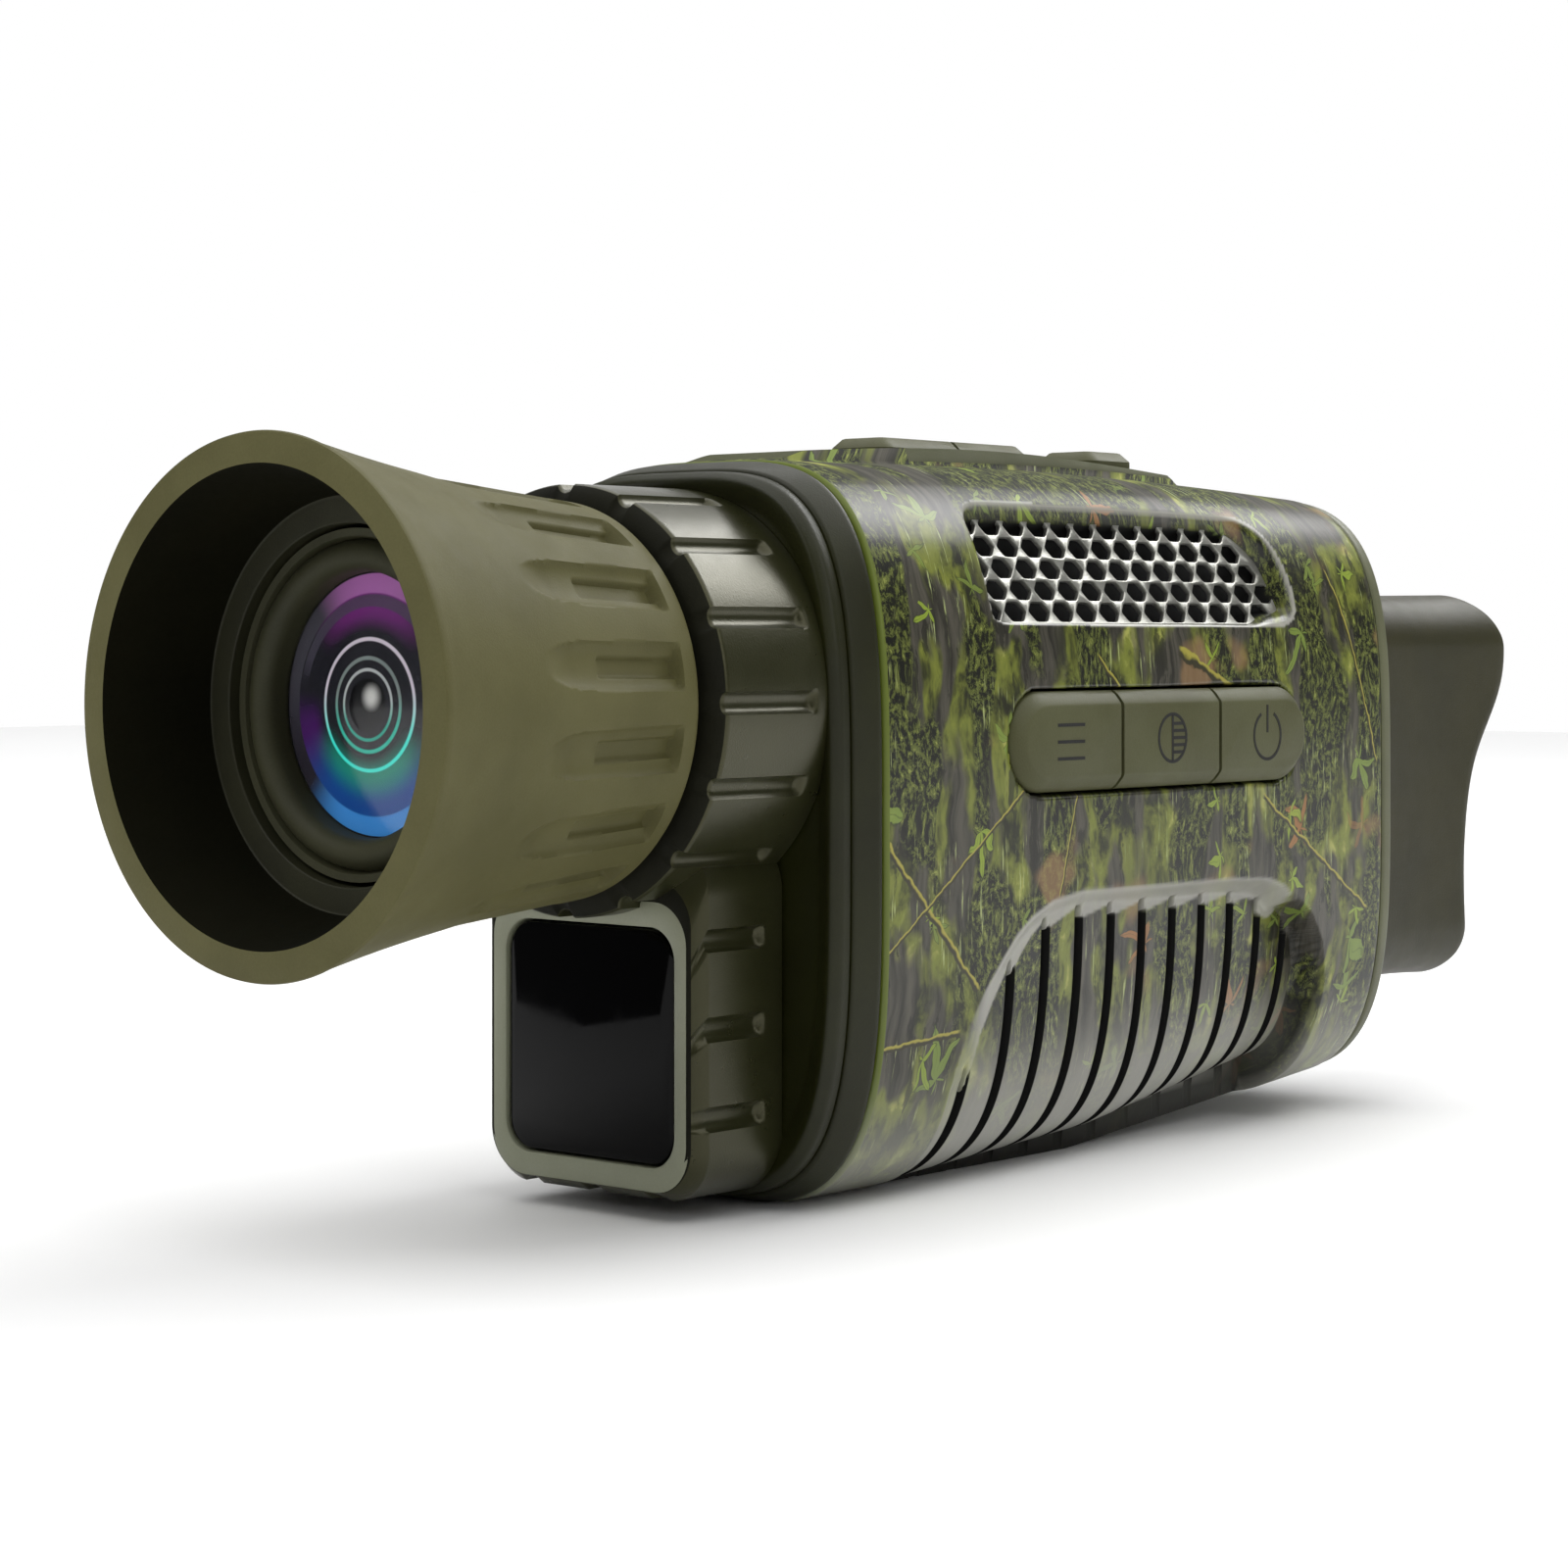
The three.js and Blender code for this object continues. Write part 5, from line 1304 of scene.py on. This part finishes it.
MATERIALS = {
    "hood": moulded("hood_olive", "5b5836", "504d2c", 0.62, specular=0.22),
    "funnel": moulded("funnel_black", "0f0e02", "090900", 0.85, specular=0.1),
    "seat": moulded("seat_olive", "2b2b18", "222212", 0.6, specular=0.3),
    "housing": moulded("housing_olive", "292a18", "20210f", 0.3, coat=0.1, specular=0.65, gleam="d4cfac"),
    # Painted shade for the housing's front edges.
    "shadow": moulded("painted_shade_olive", "121203", "0b0b02", 0.8, specular=0.2),
    "bezel": moulded("bezel_grey", "8c8f7a", "82856f", 0.45),
    "window": moulded("window_black", "020203", "010101", 0.06, grain=0.0003, specular=0.1),
    "dark_olive": moulded("dark_olive", "212306", "191a03", 0.42, specular=0.3),
    "camouflage": camouflage("camouflage_print"),
    "deck": moulded("deck_olive", "4b4d35", "42442e", 0.6, specular=0.05),
    "mesh": moulded("mesh_silver", "b0b0a8", "8c8c85", 0.32, metallic=0.7),
    "button": moulded("button_olive", "53543a", "49492f", 0.5, specular=0.2),
    "ink": moulded("engraving", "0a0a06", "060604", 0.7),
    "rubber": moulded("rubber_olive", "302e17", "272611", 0.45, grain=0.03, specular=0.25),
    "rear": moulded("rear_olive", "5d5f45", "52543c", 0.45, specular=0.4),
    "black": moulded("black_plastic", "101011", "070708", 0.5),
    "cell": moulded("cell_satin", "3d3d29", "30301f", 0.6, grain=0.004, specular=0.25),
    "clear": glass("coated_glass", "1c1c20", 0.08),
    "lens_reflections": painted_lens_reflections("lens_painted_reflections"),
    "pupil": pupil("pupil_glass"),
    "seal": moulded("seal_rubber", "131313", "0a0a0a", 0.7),
    "circuit": board("circuit_board"),
    "led": moulded("led_package", "d8d2bc", "c6bfa6", 0.3),
    "silicon": moulded("silicon", "23262e", "15171d", 0.15, grain=0.002),
    "display": moulded("display_glass", "14171b", "0a0c0e", 0.12, grain=0.002),
    "battery": moulded("battery_wrap", "2b4d8c", "213e75", 0.35),
    "socket": moulded("socket_steel", "b9b9b4", "8e8e8a", 0.3, metallic=1.0),
    "screw": moulded("screw_zinc", "8a8a88", "6c6c6a", 0.35, metallic=1.0),
    "brass": turned_metal("turned_brass", "c9a04a", "a07c34", 0.3),
    "card": moulded("card_plastic", "121213", "0a0a0b", 0.45),
}

CARRIED_OVER = {
    "clear": ["rear_lens", "lamp_lens"],
    "black": ["guide_barrel", "port_bay", "speaker", "display_frame"],
    "seal": ["focus_seal"],
    "led": ["lamp_led"],
    "circuit": ["lamp_board", "side_key_board", "top_key_board", "sensor_board", "main_board"],
    "socket": ["usb_port", "card_socket"],
    "card": ["memory_card"],
    "silicon": ["image_sensor"],
    "battery": ["battery"],
    "display": ["display_panel"],
    "screw": ["rear_screw_1", "rear_screw_2", "rear_screw_3", "rear_screw_4"],
}


def paint_carried_over():
    for key, names in CARRIED_OVER.items():
        for name in names:
            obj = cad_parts[name]
            if not obj.material_slots:
                obj.data.materials.append(MATERIALS[key])
            for slot in obj.material_slots:
                slot.material = MATERIALS[key]


def assemble():
    m = MATERIALS
    focus_hood(m["hood"], m["funnel"], m["seat"])
    lens_cell(m["cell"])
    front_lens(m["clear"], m["lens_reflections"], m["pupil"])
    lens_retainer(m["black"])
    neck(m["housing"], m["shadow"])
    lamp_housing(m["housing"], m["shadow"])
    lamp_bezel(m["bezel"])
    lamp_window(m["window"])
    front_cap(m["dark_olive"])
    trim_ring(m["dark_olive"])
    main_shell(m["camouflage"], m["deck"])
    vent_mesh(m["mesh"])
    side_buttons(m["button"], m["ink"])
    top_keys(m["button"], m["ink"])
    port_flap(m["rubber"])
    rear_frame(m["rear"])
    eyecup(m["rubber"])
    eyepiece(m["clear"], m["black"])
    tripod_nut(m["brass"])
    paint_carried_over()


# ------------------------------------------------------------------ stage, light and camera

FLOOR_HALF = 1.5
LIGHT_TARGET = Vector((0, 0, 0.04))
BACKDROP = (-0.656, 0.754, 0.0)  # the way the camera looks, past the object
ROOM = 0.12


def floor():
    mesh = bpy.data.meshes.new("floor")
    corners = [(FLOOR_HALF * x, FLOOR_HALF * y, 0) for x, y in ((-1, -1), (1, -1), (1, 1), (-1, 1))]
    mesh.from_pydata(corners, [], [(0, 1, 2, 3)])
    n = Nodes("pale_floor")
    clouds = n.noise(n.here(), 2.0, 2.0)
    n.set(Base_Color=n.mix(clouds, (0.86, 0.86, 0.86, 1), (0.9, 0.9, 0.9, 1)), Roughness=0.7)
    mesh.materials.append(n.material)
    obj = bpy.data.objects.new("floor", mesh)
    bpy.context.scene.collection.objects.link(obj)


def softbox(name, direction, distance, size, power):
    """A rectangular light at that distance from the body's middle, in that direction, facing it."""
    data = bpy.data.lights.new(name, "AREA")
    data.shape = "RECTANGLE"
    data.size, data.size_y = size
    data.energy = power
    obj = bpy.data.objects.new(name, data)
    toward = Vector(direction).normalized()
    obj.location = LIGHT_TARGET + toward * distance
    obj.rotation_euler = toward.to_track_quat("Z", "Y").to_euler()
    bpy.context.scene.collection.objects.link(obj)


def lights():
    softbox("rear_top", (0.1, 0.75, 0.62), 0.9, (0.6, 0.3), 4.0)
    softbox("front_left", (-0.35, -0.9, 0.7), 3.0, (2.0, 2.0), 26.0)
    softbox("right", (0.95, -0.2, 0.5), 3.0, (1.2, 2.0), 14.0)
    softbox("overhead", (0.0, 0.1, 1.0), 3.5, (7.0, 7.0), 255.0)


def studio():
    """A grey room with a pale backdrop behind the object as the camera sees it."""
    world = bpy.data.worlds.new("studio")
    world.use_nodes = True
    nodes, links = world.node_tree.nodes, world.node_tree.links
    direction = nodes.new("ShaderNodeTexCoord").outputs["Generated"]
    behind = nodes.new("ShaderNodeVectorMath")
    behind.operation = "DOT_PRODUCT"
    behind.inputs[1].default_value = BACKDROP
    links.new(direction, behind.inputs[0])
    nodes["Background"].inputs["Color"].default_value = (1, 1, 1, 1)
    ramp = nodes.new("ShaderNodeMapRange")
    ramp.interpolation_type = "SMOOTHSTEP"
    for key, value in {"From Min": 0.9, "From Max": 0.955, "To Min": ROOM, "To Max": 1.0}.items():
        ramp.inputs[key].default_value = value
    links.new(behind.outputs["Value"], ramp.inputs["Value"])
    links.new(ramp.outputs[0], nodes["Background"].inputs["Strength"])
    bpy.context.scene.world = world
    bpy.context.scene.view_settings.view_transform = "Standard"


# Solved from the photo's round hood rim and straight edges. The camera looks level.
CAMERA_PLACE = (0.2301, -0.2868, 0.0551)
CAMERA_TURN = 41.02
CAMERA_LENS = 79.08
CAMERA_SENSOR = 36
CAMERA_SHIFT = -0.094


def camera():
    data = bpy.data.cameras.new("camera")
    data.lens = CAMERA_LENS
    data.sensor_width = CAMERA_SENSOR
    data.shift_y = CAMERA_SHIFT
    obj = bpy.data.objects.new("camera", data)
    obj.location = CAMERA_PLACE
    obj.rotation_euler = (math.radians(90), 0, math.radians(CAMERA_TURN))
    bpy.context.scene.collection.objects.link(obj)
    bpy.context.scene.camera = obj


camera()
studio()
lights()
floor()
assemble()

bpy.context.view_layer.update()
